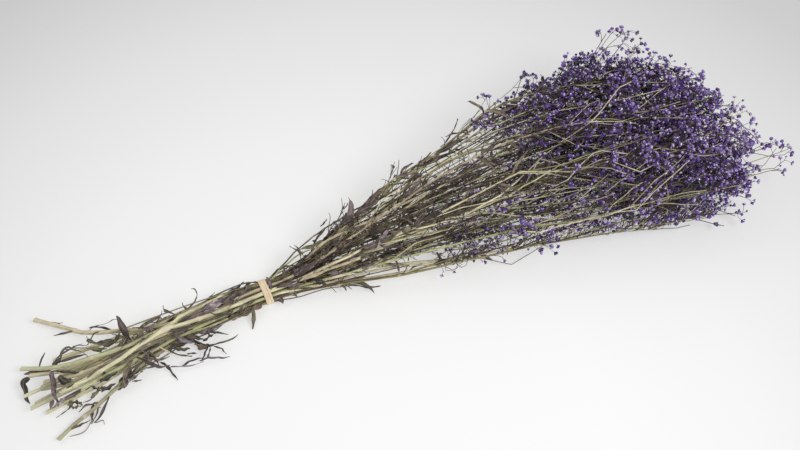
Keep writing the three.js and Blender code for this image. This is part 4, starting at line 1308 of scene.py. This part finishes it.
def add_seen_leaves(skins):
    """The leaves that stand out, each on the stem nearest to its root."""
    for number, (kind, half, way) in enumerate(SEEN_LEAVES):
        rng = draws("seen leaf", number)
        way = np.array(way, float)
        share = np.linspace(0, len(way) - 1, 5 * (len(way) - 1) + 1)
        line = interpolated(share, range(len(way)), way)
        for _ in range(6):
            line[1:-1] = (line[:-2] + line[1:-1] * 2 + line[2:]) / 4
        outward = unit(np.array([0, way[0][1] * 0.3, 1.0]))
        skin = skins[nearest_stem(way[0])[0]]
        add_leaf(skin, rng, line, outward, 1.15 * half, rng.uniform(-0.6, 0.6), kind, folded=0.4)


def place_on(axis, x):
    """The point of a stem's fine line at x, and the way of the line there."""
    at = np.argmin(np.abs(axis[:, 0] - x))
    return axis[at], unit(axis[min(at + 1, len(axis) - 1)] - axis[at - 1])


def hides_joint(line):
    """Whether a leaf lies over the stem on top, near its wide joint."""
    top = FINE[TOP_STEM, "axis"]
    top = top[np.abs(top[:, 0] - TOP_JOINT) < 34]
    gaps = np.linalg.norm(line[:, None, :2] - top[None, :, :2], axis=2)
    return bool((gaps < 5).any()) and line[:, 2].max() > top[:, 2].min() - 3


def add_loose_leaves(skins):
    """Small and middling dry leaves along the stems, outside the bunch and between its stems."""
    rng = draws("loose leaves")
    for number in range(OUTSIDE_LEAVES + INSIDE_LEAVES):
        x = rng.choice([
            rng.uniform(-148 if number < OUTSIDE_LEAVES else -185, -14), rng.uniform(-120, -14),
            rng.uniform(14, 110), rng.uniform(60, 190),
        ])
        outward = outward_way(rng.normal(math.pi / 2, 1.0))
        near = [s for s in STEMS if s["cut"][0] < x - 8]
        if number < OUTSIDE_LEAVES:
            near.sort(key=lambda s: -stem_point(s, x) @ outward)
            near = near[:2]
        if x < -20 and outward[2] > (0.2 if -110 < x < -60 else 0.5) and rng.uniform() < 0.65:
            continue
        stem = near[rng.integers(len(near))]
        if x > 40 and rng.uniform() > fullness(stem) + 0.1:
            continue
        place, ahead = place_on(FINE[stem["index"], "axis"], x)
        ahead = ahead * (-1 if rng.uniform() < 0.3 else 1)
        small = rng.uniform() < 0.36 or x < -148
        length = rng.uniform(8, 18) if small else rng.uniform(14, 32)
        lift = rng.uniform(0.0, 0.22) if small else rng.uniform(0.0, 0.14)
        heading = ahead + outward * lift + rng.normal(size=3) * 0.12
        line = curly_line(rng, place + outward * 1.4, heading, length,
                          rng.uniform(0.5, 3.0 if small else 1.6), 8 if small else 11)
        if np.abs(line[:, 0]).min() < 5.5 or line[0, 0] * line[-1, 0] < 0 or hides_joint(line):
            continue
        half = rng.uniform(0.5, 1.4) if small else rng.uniform(1.4, 3.4)
        add_leaf(skins[stem["index"]], rng, line, outward, half, rng.uniform(-1.5, 1.5),
                 rng.choice(8, p=LOW_LEAF_SHARES if x < 0 else LEAF_SHARES), 3 if small else 5)


def add_shoots(stalks, leaves, spots):
    """Thin side shoots with dry leaflets, from the joints of the fan."""
    for stem in STEMS:
        index = stem["index"]
        rng = draws("shoots", index)
        for _ in range(round(SHOOTS * fullness(stem))):
            x = rng.uniform(30, 170)
            place, ahead = place_on(FINE[index, "axis"], x)
            outward = outward_way(rng.uniform(0, 2 * math.pi))
            length = rng.uniform(22, 50) + 0.14 * max(x, 0)
            heading = ahead + outward * rng.uniform(0.02, 0.08 + 0.0008 * x)
            line = curly_line(rng, place, heading, length, 0.6, 8)
            kind = rng.choice([3, 4, 5, 6], p=[0.1, 0.2, 0.4, 0.3])
            add_lines(stalks[index], [kinked(rng, line, 0.5)], (rng.uniform(0.4, 0.62), 0.24), 5, kind)
            ends = [line[-1]]
            for k in (3, 5, 6):
                heading = line[k] - line[k - 1] + outward * 0.3 + rng.normal(size=3) * 0.5
                fork = curly_line(rng, line[k], heading, rng.uniform(7, 18), 0.9, 4)
                add_lines(stalks[index], [fork], (0.32, 0.2), 4, kind)
                ends.append(fork[-1])
            for _ in range(rng.integers(3, 7)):
                root = line[rng.integers(1, 8)]
                heading = ahead + rng.normal(size=3) * 0.7
                leaflet = curly_line(rng, root, heading, rng.uniform(3, 9), rng.uniform(1, 5), 6)
                add_leaf(leaves[index], rng, leaflet, outward, rng.uniform(0.35, 1.1), rng.uniform(-1, 1),
                         rng.choice(LEAFLET_KINDS), 3)
            if x + length > 235:
                spots[index] += [(end, ahead) for end in ends if rng.uniform() < 0.5 and is_in_head(end)]


def forks(rng, line, count, spread, length):
    """Short straight side stalks that leave a line at its joints."""
    ways = []
    for _ in range(count):
        k = rng.integers(len(line) // 3, len(line) - 1)
        ahead = unit(line[k + 1] - line[k - 1])
        way = unit(ahead + unit(np.cross(ahead, rng.normal(size=3))) * rng.uniform(*spread))
        reach = length * rng.uniform(0.5, 1.2)
        bend = unit(way + 0.2 * rng.normal(size=3))
        end = line[k] + (way + bend) * reach * 0.5
        if abs(end[1]) < 0.27 * end[0] if end[0] < 230 else is_in_head(end + 4 * way):
            ways.append(np.array([line[k], line[k] + way * reach * 0.5, end]))
    return ways


def add_tips(bloom, stalk, rng, ways, most):
    """A few flowers at the ends of thin stalks."""
    pedicels = []
    for way in ways:
        ahead = unit(way[-1] - way[-2])
        for _ in range(rng.integers(1, most + 1)):
            out = unit(ahead + 0.8 * rng.normal(size=3))
            pedicels.append([way[-1], keep_inside(way[-1] + out * rng.uniform(1.5, 4.5), 2.2)])
    if pedicels:
        add_lines(stalk, pedicels, (0.17, 0.14), 3, 5)
        pedicels = np.array(pedicels)
        add_flowers(bloom, rng, pedicels[:, 1], pedicels[:, 1] - pedicels[:, 0])


def add_extra_branches(skin, bloom, stem, spots):
    """Long thin branches, nearly straight between joints, that cross to flowers of other stems."""
    index = stem["index"]
    rng = draws("extra branches", index)
    axis = FINE[index, "axis"]
    targets = [spot for group in spots for spot in group]
    lines, kinds = [], []
    wanted = EXTRA_BRANCHES if stem["spray"][0] < 30 and fullness(stem) > 0.5 else EXTRA_BRANCHES // 2
    for _ in range(EXTRA_BRANCHES * 12):
        if len(lines) == wanted:
            break
        flower, facing = targets[rng.integers(len(targets))]
        root, ahead = place_on(axis, rng.uniform(80, 250))
        beyond = stem_point(stem, min(flower[0], stem["end"]))
        if flower[0] < root[0] + 60 or np.linalg.norm(beyond[1:] - flower[1:]) > 65:
            continue
        reach = flower - root
        if angle_between(ahead, reach) > 0.5:
            continue
        middle = mix(root + ahead * np.linalg.norm(reach) * 0.4, mix(root, flower, 0.5), rng.uniform(0.5, 1))
        knots = bezier(root, middle, flower - facing * 6, 4)
        knots[1:-1] += rng.normal(size=(3, 3)) * 1.5
        lines.append(divided(np.vstack([knots, knots[-1:] + reach * 0.01]), 3)[:13])
        kinds.append(rng.choice([0, 1, 3, 4, 5, 6, 7], p=[0.12, 0.1, 0.14, 0.2, 0.22, 0.12, 0.1]))
    add_lines(skin, lines, (0.62, 0.3), 6, kinds)
    for line, kind in zip(lines, kinds):
        ways = forks(rng, line, 3, (0.25, 0.6), 32)
        add_lines(skin, ways, (0.34, 0.2), 4, kind)
        add_tips(bloom, skin, rng, [way for way in ways if way[-1][0] > 225], 3)


def add_sprays(skins, blooms, lines):
    """Thin forked stalks just inside the surface of the head, each from the nearest branch."""
    rng = draws("sprays")
    owners = np.concatenate([np.full(len(line), index) for index, own in enumerate(lines) for line in own])
    roots = np.vstack([line for own in lines for line in own])
    made = 0
    while made < SPRAYS:
        way = unit(rng.normal(size=3) + [-0.3, 0, 0.35])
        place = HEAD_CENTRE + way * HEAD_HALF * rng.uniform(0.78, 0.95)
        place[0] += HEAD_LEAN * (place[1] - HEAD_CENTRE[1])
        if not is_in_head(place) or place[2] < 6:
            continue
        behind = roots[:, 0] < place[0] - 18
        near = np.argmin(((roots - place) ** 2).sum(1) + 1e6 * ~behind)
        ahead = unit(unit(place - roots[near]) + [0.7, 0, 0] + 0.3 * rng.normal(size=3))
        ahead = unit(ahead - way * max(ahead @ way, 0) * 0.8)
        end = place + ahead * rng.uniform(16, 40)
        if not is_in_head(end) or is_past_surface(end, 22):
            continue
        halfway = mix(place, end, 0.5) + 0.8 * rng.normal(size=3)
        line = divided(np.array([roots[near], place, halfway, end, end + ahead]), 3)[:10]
        kind = rng.choice([0, 1, 2, 7, 4, 6], p=[0.14, 0.06, 0.14, 0.12, 0.3, 0.24])
        skin = skins[owners[near]]
        add_lines(skin, [line], (0.38, 0.25), 5, kind)
        ways = forks(rng, line[3:], 4, (0.3, 0.7), 20)
        add_lines(skin, ways, (0.27, 0.17), 4, kind)
        add_tips(blooms[owners[near]], skin, rng, [line, *ways], 3)
        made += 1


def seen_root(points):
    """The stem that a traced stalk grows from, and its first points with the way from that stem."""
    at_tie = 0 < points[0][0] < 12
    if at_tie:
        points = points[points[:, 0] > 12]
    index, gap = nearest_stem(points[0])
    axis = FINE[index, "axis"]
    if at_tie:
        return index, np.vstack([snap(axis, (5, 0, 10)), points])
    if gap < 4:
        return index, np.vstack([snap(axis, points[0]), points[1:]])
    back = points[0] - (points[1] - points[0]) * 24 / np.linalg.norm(points[1] - points[0])
    return index, np.vstack([snap(axis[axis[:, 0] < points[0][0] - 10], back), points])


def add_seen_stalks(skins):
    """The stalks that stand out, each grown from the stem nearest to it, with joints at its bends."""
    grown, lines = {}, []
    for number, (kind, radius, way) in enumerate(SEEN_STALKS):
        rng = draws("seen stalk", number)
        points = np.array(way, float)
        index = grown.get(way[0])
        if index is None:
            index, points = seen_root(points)
        grown.update({place: index for place in way})
        share = np.linspace(0, len(points) - 1, 5 * (len(points) - 1) + 1)
        line = interpolated(share, range(len(points)), points)
        line = keep_inside(kinked(rng, line, 0.2, len(points) * 2), 1.2)
        line[:, 2] = np.maximum(line[:, 2], radius + 0.1)
        joint = np.exp(-((share - share.round()) * 5) ** 2)
        thickness = radius * np.linspace(1, 0.75, len(line)) * (1 + 0.2 * joint)
        verts, faces = tubes([line], [thickness], 7)
        skins[index].add(verts, faces, kind + np.repeat(0.5 * joint, 7))
        lines.append((index, line))
    return lines


def add_seen_flowers(stalks, blooms, sprigs, spots, lines):
    """The flowers of the sprigs, each on a thin stalk from the nearest sprig or twig behind it."""
    starts = [(index, point) for index, line in sprigs for point in line]
    starts += [(index, middle) for index, own in enumerate(spots) for middle, _ in own]
    starts += [(index, point) for index, own in enumerate(lines) for line in own for point in line[::2]]
    owners = np.array([index for index, point in starts])
    points = np.array([point for index, point in starts])
    rng = draws("seen flowers")
    clumps = [rng.normal((x, y, z), (5.5, 4.5, 3)) for x, y, z, count in SEEN_CLUMPS for _ in range(count)]
    for flower in [*SEEN_FLOWERS, *clumps]:
        end = keep_inside(np.array(flower) + rng.uniform(-0.5, 0.5, 3), 2.4)
        near = np.argmin(np.linalg.norm(points - end, axis=1) + 60 * (points[:, 0] > end[0] - 1))
        root = points[near]
        line = np.array([root, mix(root, end, 0.5) + 0.6 * rng.normal(size=3), end])
        add_lines(stalks[owners[near]], [line], (0.22, 0.16), 4, 5)
        # These flowers are drawn larger, and brighter as painted light against the shade they stand in.
        add_flowers(blooms[owners[near]], rng, end[None], (end - line[1])[None], 1.2, 0.15)


def fine_lines():
    """The real stalks of the stems, branches and twigs that the solids have, by piece."""
    for stem in STEMS:
        FINE[stem["index"], "axis"] = stem_line(stem)[0]
    for number, (stem, name, root, middle, flower) in enumerate(BRANCHES):
        root = snap(FINE[stem["index"], "axis"], root)
        rng = draws("branch line", number)
        FINE[name] = kinked(rng, bezier(root, middle, settled(flower), 14), 1.6)


def grown_parts():
    """The lines of branches and of twigs, and the flowers with their facings, for each stem."""
    thick, thin, spots = ([[] for _ in STEMS] for _ in range(3))
    for stem in STEMS:
        facing = unit(stem["tip"] - stem_point(stem, stem["end"]))
        spots[stem["index"]].append((settled(stem["tip"]), facing))
    for stem, name, root, middle, flower in BRANCHES:
        thick[stem["index"]].append(FINE[name])
        spots[stem["index"]].append((settled(flower), unit(flower - middle)))
    for number, (stem, parent, root, flower) in enumerate(TWIGS):
        rng = draws("twig line", number)
        line = FINE[(stem["index"], "axis") if parent[1] == "axis" else parent]
        root, flower = snap(line, root), settled(flower)
        thin[stem["index"]].append(kinked(rng, mix(root, flower, np.linspace(0, 1, 7)[:, None]), 0.4, 4))
        spots[stem["index"]].append((flower, unit(flower - root)))
    return thick, thin, spots


def add_grown_parts(stalk, bloom, stem, thick, thin, spots):
    """A stem with its branches and twigs, and a cluster of flowers at the end of each."""
    rng = draws("whole stem", stem["index"])
    add_stem(stalk, stem)
    add_lines(stalk, thick, (0.62, 0.32), 7, rng.choice(BRANCH_KINDS, len(thick)))
    add_lines(stalk, thin, (0.46, 0.3), 5, rng.choice(TWIG_KINDS, len(thin)))
    clusters = [cluster(rng, middle, facing) for middle, facing in spots]
    branchlets, pedicels = (sum(parts, []) for parts in zip(*clusters))
    add_lines(stalk, branchlets, (0.27, 0.2), 4, rng.choice(BRANCHLET_KINDS, len(branchlets)))
    add_blooms(bloom, rng, pedicels)


def dress_stems():
    """What each stem is replaced by: the skins of its stalks, its leaves and its flowers."""
    stalks, leaves, blooms = ([Skin() for _ in STEMS] for _ in range(3))
    fine_lines()
    thick, thin, spots = grown_parts()
    for stem, stalk, bloom in zip(STEMS, stalks, blooms):
        add_extra_branches(stalk, bloom, stem, spots)
    add_shoots(stalks, leaves, spots)
    add_companions(stalks, spots)
    lines = [[FINE[index, "axis"], *own] for index, own in enumerate(thick)]
    add_fill(stalks, blooms, lines)
    add_sprays(stalks, blooms, lines)
    add_fuzz(stalks, leaves, lines)
    for parts in zip(stalks, blooms, STEMS, thick, thin, spots):
        add_grown_parts(*parts)
    add_seen_flowers(stalks, blooms, add_seen_stalks(stalks), spots, lines)
    add_solid_leaves(leaves)
    add_seen_leaves(leaves)
    add_loose_leaves(leaves)
    return stalks, leaves, blooms


def node(tree, kind, values=None, **settings):
    """A new shader node, with its settings and its unlinked inputs."""
    made = tree.nodes.new(kind)
    for name, value in settings.items():
        setattr(made, name, value)
    for name, value in (values or {}).items():
        made.inputs[name].default_value = value
    return made


def new_material(name, roughness, specular=0.35):
    """A material, with its node tree and its shader."""
    material = bpy.data.materials.new(name)
    material.use_nodes = True
    shader = material.node_tree.nodes["Principled BSDF"]
    shader.inputs["Roughness"].default_value = roughness
    shader.inputs["Specular IOR Level"].default_value = specular
    return material, material.node_tree, shader


def ramp(tree, source, stops):
    """A colour ramp over a value, with stops as (place, colour or grey)."""
    made = tree.nodes.new("ShaderNodeValToRGB")
    elements = made.color_ramp.elements
    while len(elements) < len(stops):
        elements.new(0.5)
    for element, (place, colour) in zip(elements, stops):
        element.position = place
        element.color = (*(colour if isinstance(colour, tuple) else (colour,) * 3), 1)
    tree.links.new(source, made.inputs["Fac"])
    return made.outputs["Color"]


def palette(tree, source, colours):
    """Colours side by side, each for an even share of a value."""
    return ramp(tree, source, [(k / len(colours), colour) for k, colour in enumerate(colours)])


def noise(tree, scale, detail=3.0, stretch=(1, 1, 1)):
    """Noise of a scale per metre, stretched along the object's axes."""
    coords = tree.nodes.new("ShaderNodeTexCoord")
    mapping = node(tree, "ShaderNodeMapping", {"Scale": stretch})
    texture = node(tree, "ShaderNodeTexNoise", {"Scale": scale, "Detail": detail})
    tree.links.new(coords.outputs["Object"], mapping.inputs["Vector"])
    tree.links.new(mapping.outputs["Vector"], texture.inputs["Vector"])
    return texture.outputs["Fac"]


def along_bunch(tree, stops):
    """A ramp from the cut ends, at 0, to the head, at 1."""
    coords = tree.nodes.new("ShaderNodeTexCoord")
    apart = tree.nodes.new("ShaderNodeSeparateXYZ")
    span = node(tree, "ShaderNodeMapRange", {"From Min": -0.22, "From Max": 0.48})
    tree.links.new(coords.outputs["Object"], apart.inputs["Vector"])
    tree.links.new(apart.outputs["X"], span.inputs["Value"])
    return ramp(tree, span.outputs["Result"], stops)


def blend(tree, factor, a, b, kind="MIX"):
    """Two colours or values, mixed by a factor: each a socket, a number or a colour."""
    made = node(tree, "ShaderNodeMix", data_type="RGBA", blend_type=kind)
    for socket, source in ((made.inputs[0], factor), (made.inputs[6], a), (made.inputs[7], b)):
        if isinstance(source, (int, float)):
            socket.default_value = source
        elif isinstance(source, tuple):
            socket.default_value = (*source, 1)
        else:
            tree.links.new(source, socket)
    return made.outputs[2]


def bump(tree, shader, height, strength, distance):
    """Fine relief from a height, to the shader's normal."""
    made = node(tree, "ShaderNodeBump", {"Strength": strength, "Distance": distance})
    tree.links.new(height, made.inputs["Height"])
    tree.links.new(made.outputs["Normal"], shader.inputs["Normal"])


def parted_tone(tree):
    """The tone's whole part over 8, which tells stalks, flowers or leaves apart, and its fraction."""
    whole = node(tree, "ShaderNodeMath", operation="FLOOR")
    share = node(tree, "ShaderNodeMath", {1: 8.0}, operation="DIVIDE")
    rest = node(tree, "ShaderNodeMath", operation="FRACT")
    tone = node(tree, "ShaderNodeAttribute", attribute_name="tone").outputs["Fac"]
    tree.links.new(tone, whole.inputs[0])
    tree.links.new(whole.outputs[0], share.inputs[0])
    tree.links.new(tone, rest.inputs[0])
    return share.outputs[0], rest.outputs[0]


def stalk_material():
    """Dry stalks, khaki to brown: streaked along their length, blotched, pale at the joints, and darker in
    the head as painted shade.
    """
    material, tree, shader = new_material("dry_stalk", 0.58)
    which, joint = parted_tone(tree)
    base = palette(tree, which, STALK_COLOURS)
    streaks = noise(tree, 800, 4, (0.05, 1, 1))
    streaked = blend(tree, 1.0, base, ramp(tree, streaks, [(0.32, 0.66), (0.62, 1.2)]), "MULTIPLY")
    blotches = ramp(tree, noise(tree, 45, 4), [(0.48, 0.0), (0.7, 0.5)])
    blotched = blend(tree, blotches, streaked, (0.24, 0.17, 0.12))
    pale = along_bunch(tree, [(0.0, 0.5), (0.05, 0.26), (0.3, 0.0)])
    paled = blend(tree, pale, blotched, (0.76, 0.76, 0.58))
    jointed = blend(tree, ramp(tree, joint, [(0.15, 0.0), (0.8, 0.75)]), paled, (0.66, 0.58, 0.44))
    # Painted shade: from the start of the head on, the stalks are multiplied darker, as where the dense head
    # shades them.
    shaded = blend(tree, 1.0, jointed, along_bunch(tree, [(0.55, 1.0), (0.72, 0.72)]), "MULTIPLY")
    tree.links.new(shaded, shader.inputs["Base Color"])
    bump(tree, shader, streaks, 0.4, 0.0002)
    return material


def pith_material():
    """The cut faces: pale and fibrous."""
    material, tree, shader = new_material("pith", 0.8, 0.2)
    fibres = noise(tree, 2500, 3)
    tree.links.new(ramp(tree, fibres, [(0.35, (0.45, 0.42, 0.24)), (0.65, (0.78, 0.76, 0.58))]),
                   shader.inputs["Base Color"])
    bump(tree, shader, fibres, 0.5, 0.0002)
    return material


def leaf_material():
    """Dry leaves: dull purple brown, mauve, olive and dark green, paler along the rib."""
    material, tree, shader = new_material("dry_leaf", 0.66, 0.3)
    which, across = parted_tone(tree)
    colour = palette(tree, which, LEAF_COLOURS)
    mottles = ramp(tree, noise(tree, 230, 5), [(0.38, 0.45), (0.62, 1.75)])
    mottled = blend(tree, 1.0, colour, mottles, "MULTIPLY")
    spots = ramp(tree, noise(tree, 90, 4), [(0.5, 0.0), (0.72, 0.5)])
    spotted = blend(tree, spots, mottled, (0.17, 0.13, 0.1))
    rib = ramp(tree, across, [(0.02, 0.5), (0.2, 0.0), (0.72, 0.0), (0.9, 0.3)])
    ribbed = blend(tree, rib, spotted, (0.34, 0.28, 0.25))
    tree.links.new(ribbed, shader.inputs["Base Color"])
    bump(tree, shader, noise(tree, 650, 4), 0.6, 0.0005)
    return material


def petal_material():
    """Dyed petals: deep violet, each flower a little different, with pale rims here and there that are partly
    the petals' own pale edges and partly painted highlight glints.
    """
    material, tree, shader = new_material("dyed_petal", 0.6, 0.35)
    which, along = parted_tone(tree)
    body = palette(tree, which, PETAL_COLOURS)
    # Pale rims on about half the flowers, by a noise mask: partly the petals' own pale edges, partly painted
    # highlight glints.
    rim_and_glint = blend(tree, 1.0, ramp(tree, along, [(0.3, 0.0), (0.45, 0.3), (0.6, 0.55), (0.75, 1.0)]),
                ramp(tree, noise(tree, 330, 2), [(0.48, 0.05), (0.53, 1.0)]), "MULTIPLY")
    colour = blend(tree, rim_and_glint, body, (0.9, 0.86, 0.95))
    tree.links.new(colour, shader.inputs["Base Color"])
    bump(tree, shader, noise(tree, 1800, 3), 0.4, 0.0002)
    return material


def calyx_material():
    """The small dull cups under the flowers."""
    material, tree, shader = new_material("calyx", 0.7, 0.25)
    tree.links.new(ramp(tree, noise(tree, 150, 3), [(0.35, (0.07, 0.06, 0.045)), (0.65, (0.1, 0.075, 0.1))]),
                   shader.inputs["Base Color"])
    return material


def band_material():
    """Natural rubber: pale tan, a little darker in fine lengthwise marks."""
    material, tree, shader = new_material("rubber", 0.5, 0.45)
    marks = noise(tree, 420, 4, (1, 0.12, 0.12))
    rubber = ramp(tree, marks, [(0.35, (0.66, 0.52, 0.33)), (0.6, (0.8, 0.67, 0.47))])
    clouds = ramp(tree, noise(tree, 120, 2), [(0.4, 0.0), (0.7, 0.5)])
    colour = blend(tree, clouds, rubber, (0.7, 0.57, 0.4))
    tree.links.new(colour, shader.inputs["Base Color"])
    bump(tree, shader, marks, 0.3, 0.0002)
    return material


def hull(points):
    """The convex outline of points in the plane, anticlockwise."""
    def half(ordered):
        out = []
        for p in ordered:
            while len(out) > 1:
                (ax, ay), (bx, by) = out[-2:]
                if (bx - ax) * (p[1] - ay) - (by - ay) * (p[0] - ax) > 1e-9:
                    break
                out.pop()
            out.append(p)
        return out[:-1]

    ordered = sorted(map(tuple, points))
    return np.array(half(ordered) + half(ordered[::-1]))


def pack_outline(distance, count):
    """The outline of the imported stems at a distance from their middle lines, at even steps."""
    angle = 2 * np.pi * np.arange(96) / 96
    ring = distance * np.stack([np.cos(angle), np.sin(angle)], -1)
    outline = hull(np.vstack([ring + stem["tie"] for stem in STEMS]))
    closed = np.vstack([outline, outline[:1]])
    length = np.concatenate([[0], np.cumsum(np.linalg.norm(np.diff(closed, axis=0), axis=1))])
    at = np.linspace(0, length[-1], count, endpoint=False)
    return interpolated(at, length, closed)


def dress_band(material):
    """Two turns of rubber side by side, each rounded at its edges, a little uneven in width."""
    count = 144
    inner = STEM_RADIUS + BAND_GAP
    outer = inner + BAND_THICKNESS
    skin = Skin()
    phase = 2 * np.pi * np.arange(count) / count
    for low, high, key in BAND_TURNS:
        width = high - low
        edge = [(0, inner), (0, outer - 0.35), (0.1, outer - 0.1), (0.32, outer)]
        mirrored = [(width - along, distance) for along, distance in edge[::-1]]
        profile = [*edge, (width / 2, outer - 0.03), *mirrored]
        rings = []
        for along, distance in profile:
            outline = pack_outline(distance, count)
            wave = 0.05 * np.sin(3 * phase + key) + 0.03 * np.sin(7 * phase + 2 * key)
            x = np.clip(low + along + wave * (1 if along > width / 2 else -1), -3.28, 3.28)
            rings.append(np.stack([x - 0.08 * outline[:, 0], outline[:, 0], outline[:, 1]], -1))
        steps = len(rings)
        r, k = np.meshgrid(np.arange(steps), np.arange(count), indexing="ij")
        after, following = (k + 1) % count, (r + 1) % steps
        quads = np.stack([r * count + k, r * count + after,
                          following * count + after, following * count + k], -1)
        skin.add(np.vstack(rings), [quads.reshape(-1, 4)], 0.5)
    skin.make("rubber_band_turns", [material], "rubber_band", "band")


def placed(name, data, axes, place):
    """A camera or a lamp at a place in metres, with its axes as rows."""
    obj = bpy.data.objects.new(name, data)
    columns = np.column_stack([*axes, place])
    obj.matrix_world = Matrix([*columns.tolist(), [0, 0, 0, 1]])
    bpy.context.scene.collection.objects.link(obj)
    return obj


def add_camera():
    """A 50 mm view from above the near side, 60 degrees down."""
    turn, tilt = math.radians(CAMERA_TURN), math.radians(CAMERA_TILT)
    back = np.array([math.sin(turn) * math.cos(tilt), -math.cos(turn) * math.cos(tilt), math.sin(tilt)])
    right = np.array([math.cos(turn), math.sin(turn), 0])
    camera = bpy.data.cameras.new("view")
    camera.lens = 50
    camera.sensor_width = 36
    camera.clip_start = 0.01
    axes = (right, np.cross(back, right), back)
    bpy.context.scene.camera = placed("view", camera, axes, CAMERA_PLACE)


def add_area(name, place, target, size, power):
    """A round soft lamp that faces its target."""
    lamp = bpy.data.lights.new(name, "AREA")
    lamp.shape = "DISK"
    lamp.size = size
    lamp.energy = power
    z = unit(np.array(place, float) - np.array(target, float))
    x = unit(np.cross([0, 0, 1.0], z))
    placed(name, lamp, (x, np.cross(z, x), z), place)


def floor_material():
    """A pale studio floor with a painted pool of light, brightest before the bunch and softly darker away
    from it, that also glows as painted light.
    """
    material, tree, shader = new_material("floor", 0.9, 0.1)
    coords = tree.nodes.new("ShaderNodeTexCoord")
    shift = (-FLOOR_BRIGHTEST[0] / FLOOR_REACH, -FLOOR_BRIGHTEST[1] / FLOOR_REACH, 0)
    mapping = node(tree, "ShaderNodeMapping", {"Location": shift, "Scale": (1000 / FLOOR_REACH,) * 3})
    gradient = node(tree, "ShaderNodeTexGradient", gradient_type="SPHERICAL")
    tree.links.new(coords.outputs["Object"], mapping.inputs["Vector"])
    tree.links.new(mapping.outputs["Vector"], gradient.inputs["Vector"])
    stops = [(1 - distance / FLOOR_REACH, FLOOR_TONE * level) for distance, level in FLOOR_PAINTED_LIGHT]
    painted_pool = ramp(tree, gradient.outputs["Fac"], stops)
    tree.links.new(blend(tree, 1.0, painted_pool, (FLOOR_SHARE,) * 3, "MULTIPLY"), shader.inputs["Base Color"])
    # Painted light: the floor glows with its painted pool, though it is no lamp.
    tree.links.new(painted_pool, shader.inputs["Emission Color"])
    shader.inputs["Emission Strength"].default_value = 1 - FLOOR_SHARE
    return material


def add_studio():
    """The floor, the even light all round and the lamps."""
    mesh = bpy.data.meshes.new("floor")
    mesh.from_pydata([(-4, -4, 0), (4, -4, 0), (4, 4, 0), (-4, 4, 0)], [], [(0, 1, 2, 3)])
    floor = bpy.data.objects.new("floor", mesh)
    floor.location = (0, 0, -0.0003)
    bpy.context.scene.collection.objects.link(floor)
    mesh.materials.append(floor_material())
    world = bpy.data.worlds.new("studio")
    world.use_nodes = True
    sky = world.node_tree.nodes["Background"]
    sky.inputs["Color"].default_value = SKY_COLOUR
    sky.inputs["Strength"].default_value = SKY_STRENGTH
    bpy.context.scene.world = world
    bpy.context.scene.view_settings.view_transform = "Standard"
    for lamp in LAMPS:
        add_area(*lamp)


add_camera()
grow_bunch()
STALKS, DRY_LEAVES, BLOOMS = dress_stems()
STALK, PITH, LEAF, PETAL, CALYX = (
    stalk_material(), pith_material(), leaf_material(), petal_material(), calyx_material()
)
for STEM, STALK_SKIN, LEAF_SKIN, BLOOM_SKIN in zip(STEMS, STALKS, DRY_LEAVES, BLOOMS):
    NODE = f"stem_{STEM['index'] + 1:02d}"
    STALK_SKIN.make(f"{NODE}_stalks", [STALK, PITH], NODE, "stem")
    BLOOM_SKIN.make(f"{NODE}_flowers", [PETAL, CALYX], NODE, "flower")
    THICKNESS = LEAF_SKIN.make(f"{NODE}_leaves", [LEAF], NODE, "leaf").modifiers.new("thickness", "SOLIDIFY")
    THICKNESS.thickness = LEAF_THICKNESS / 1000
    THICKNESS.offset = 0
dress_band(band_material())
add_studio()
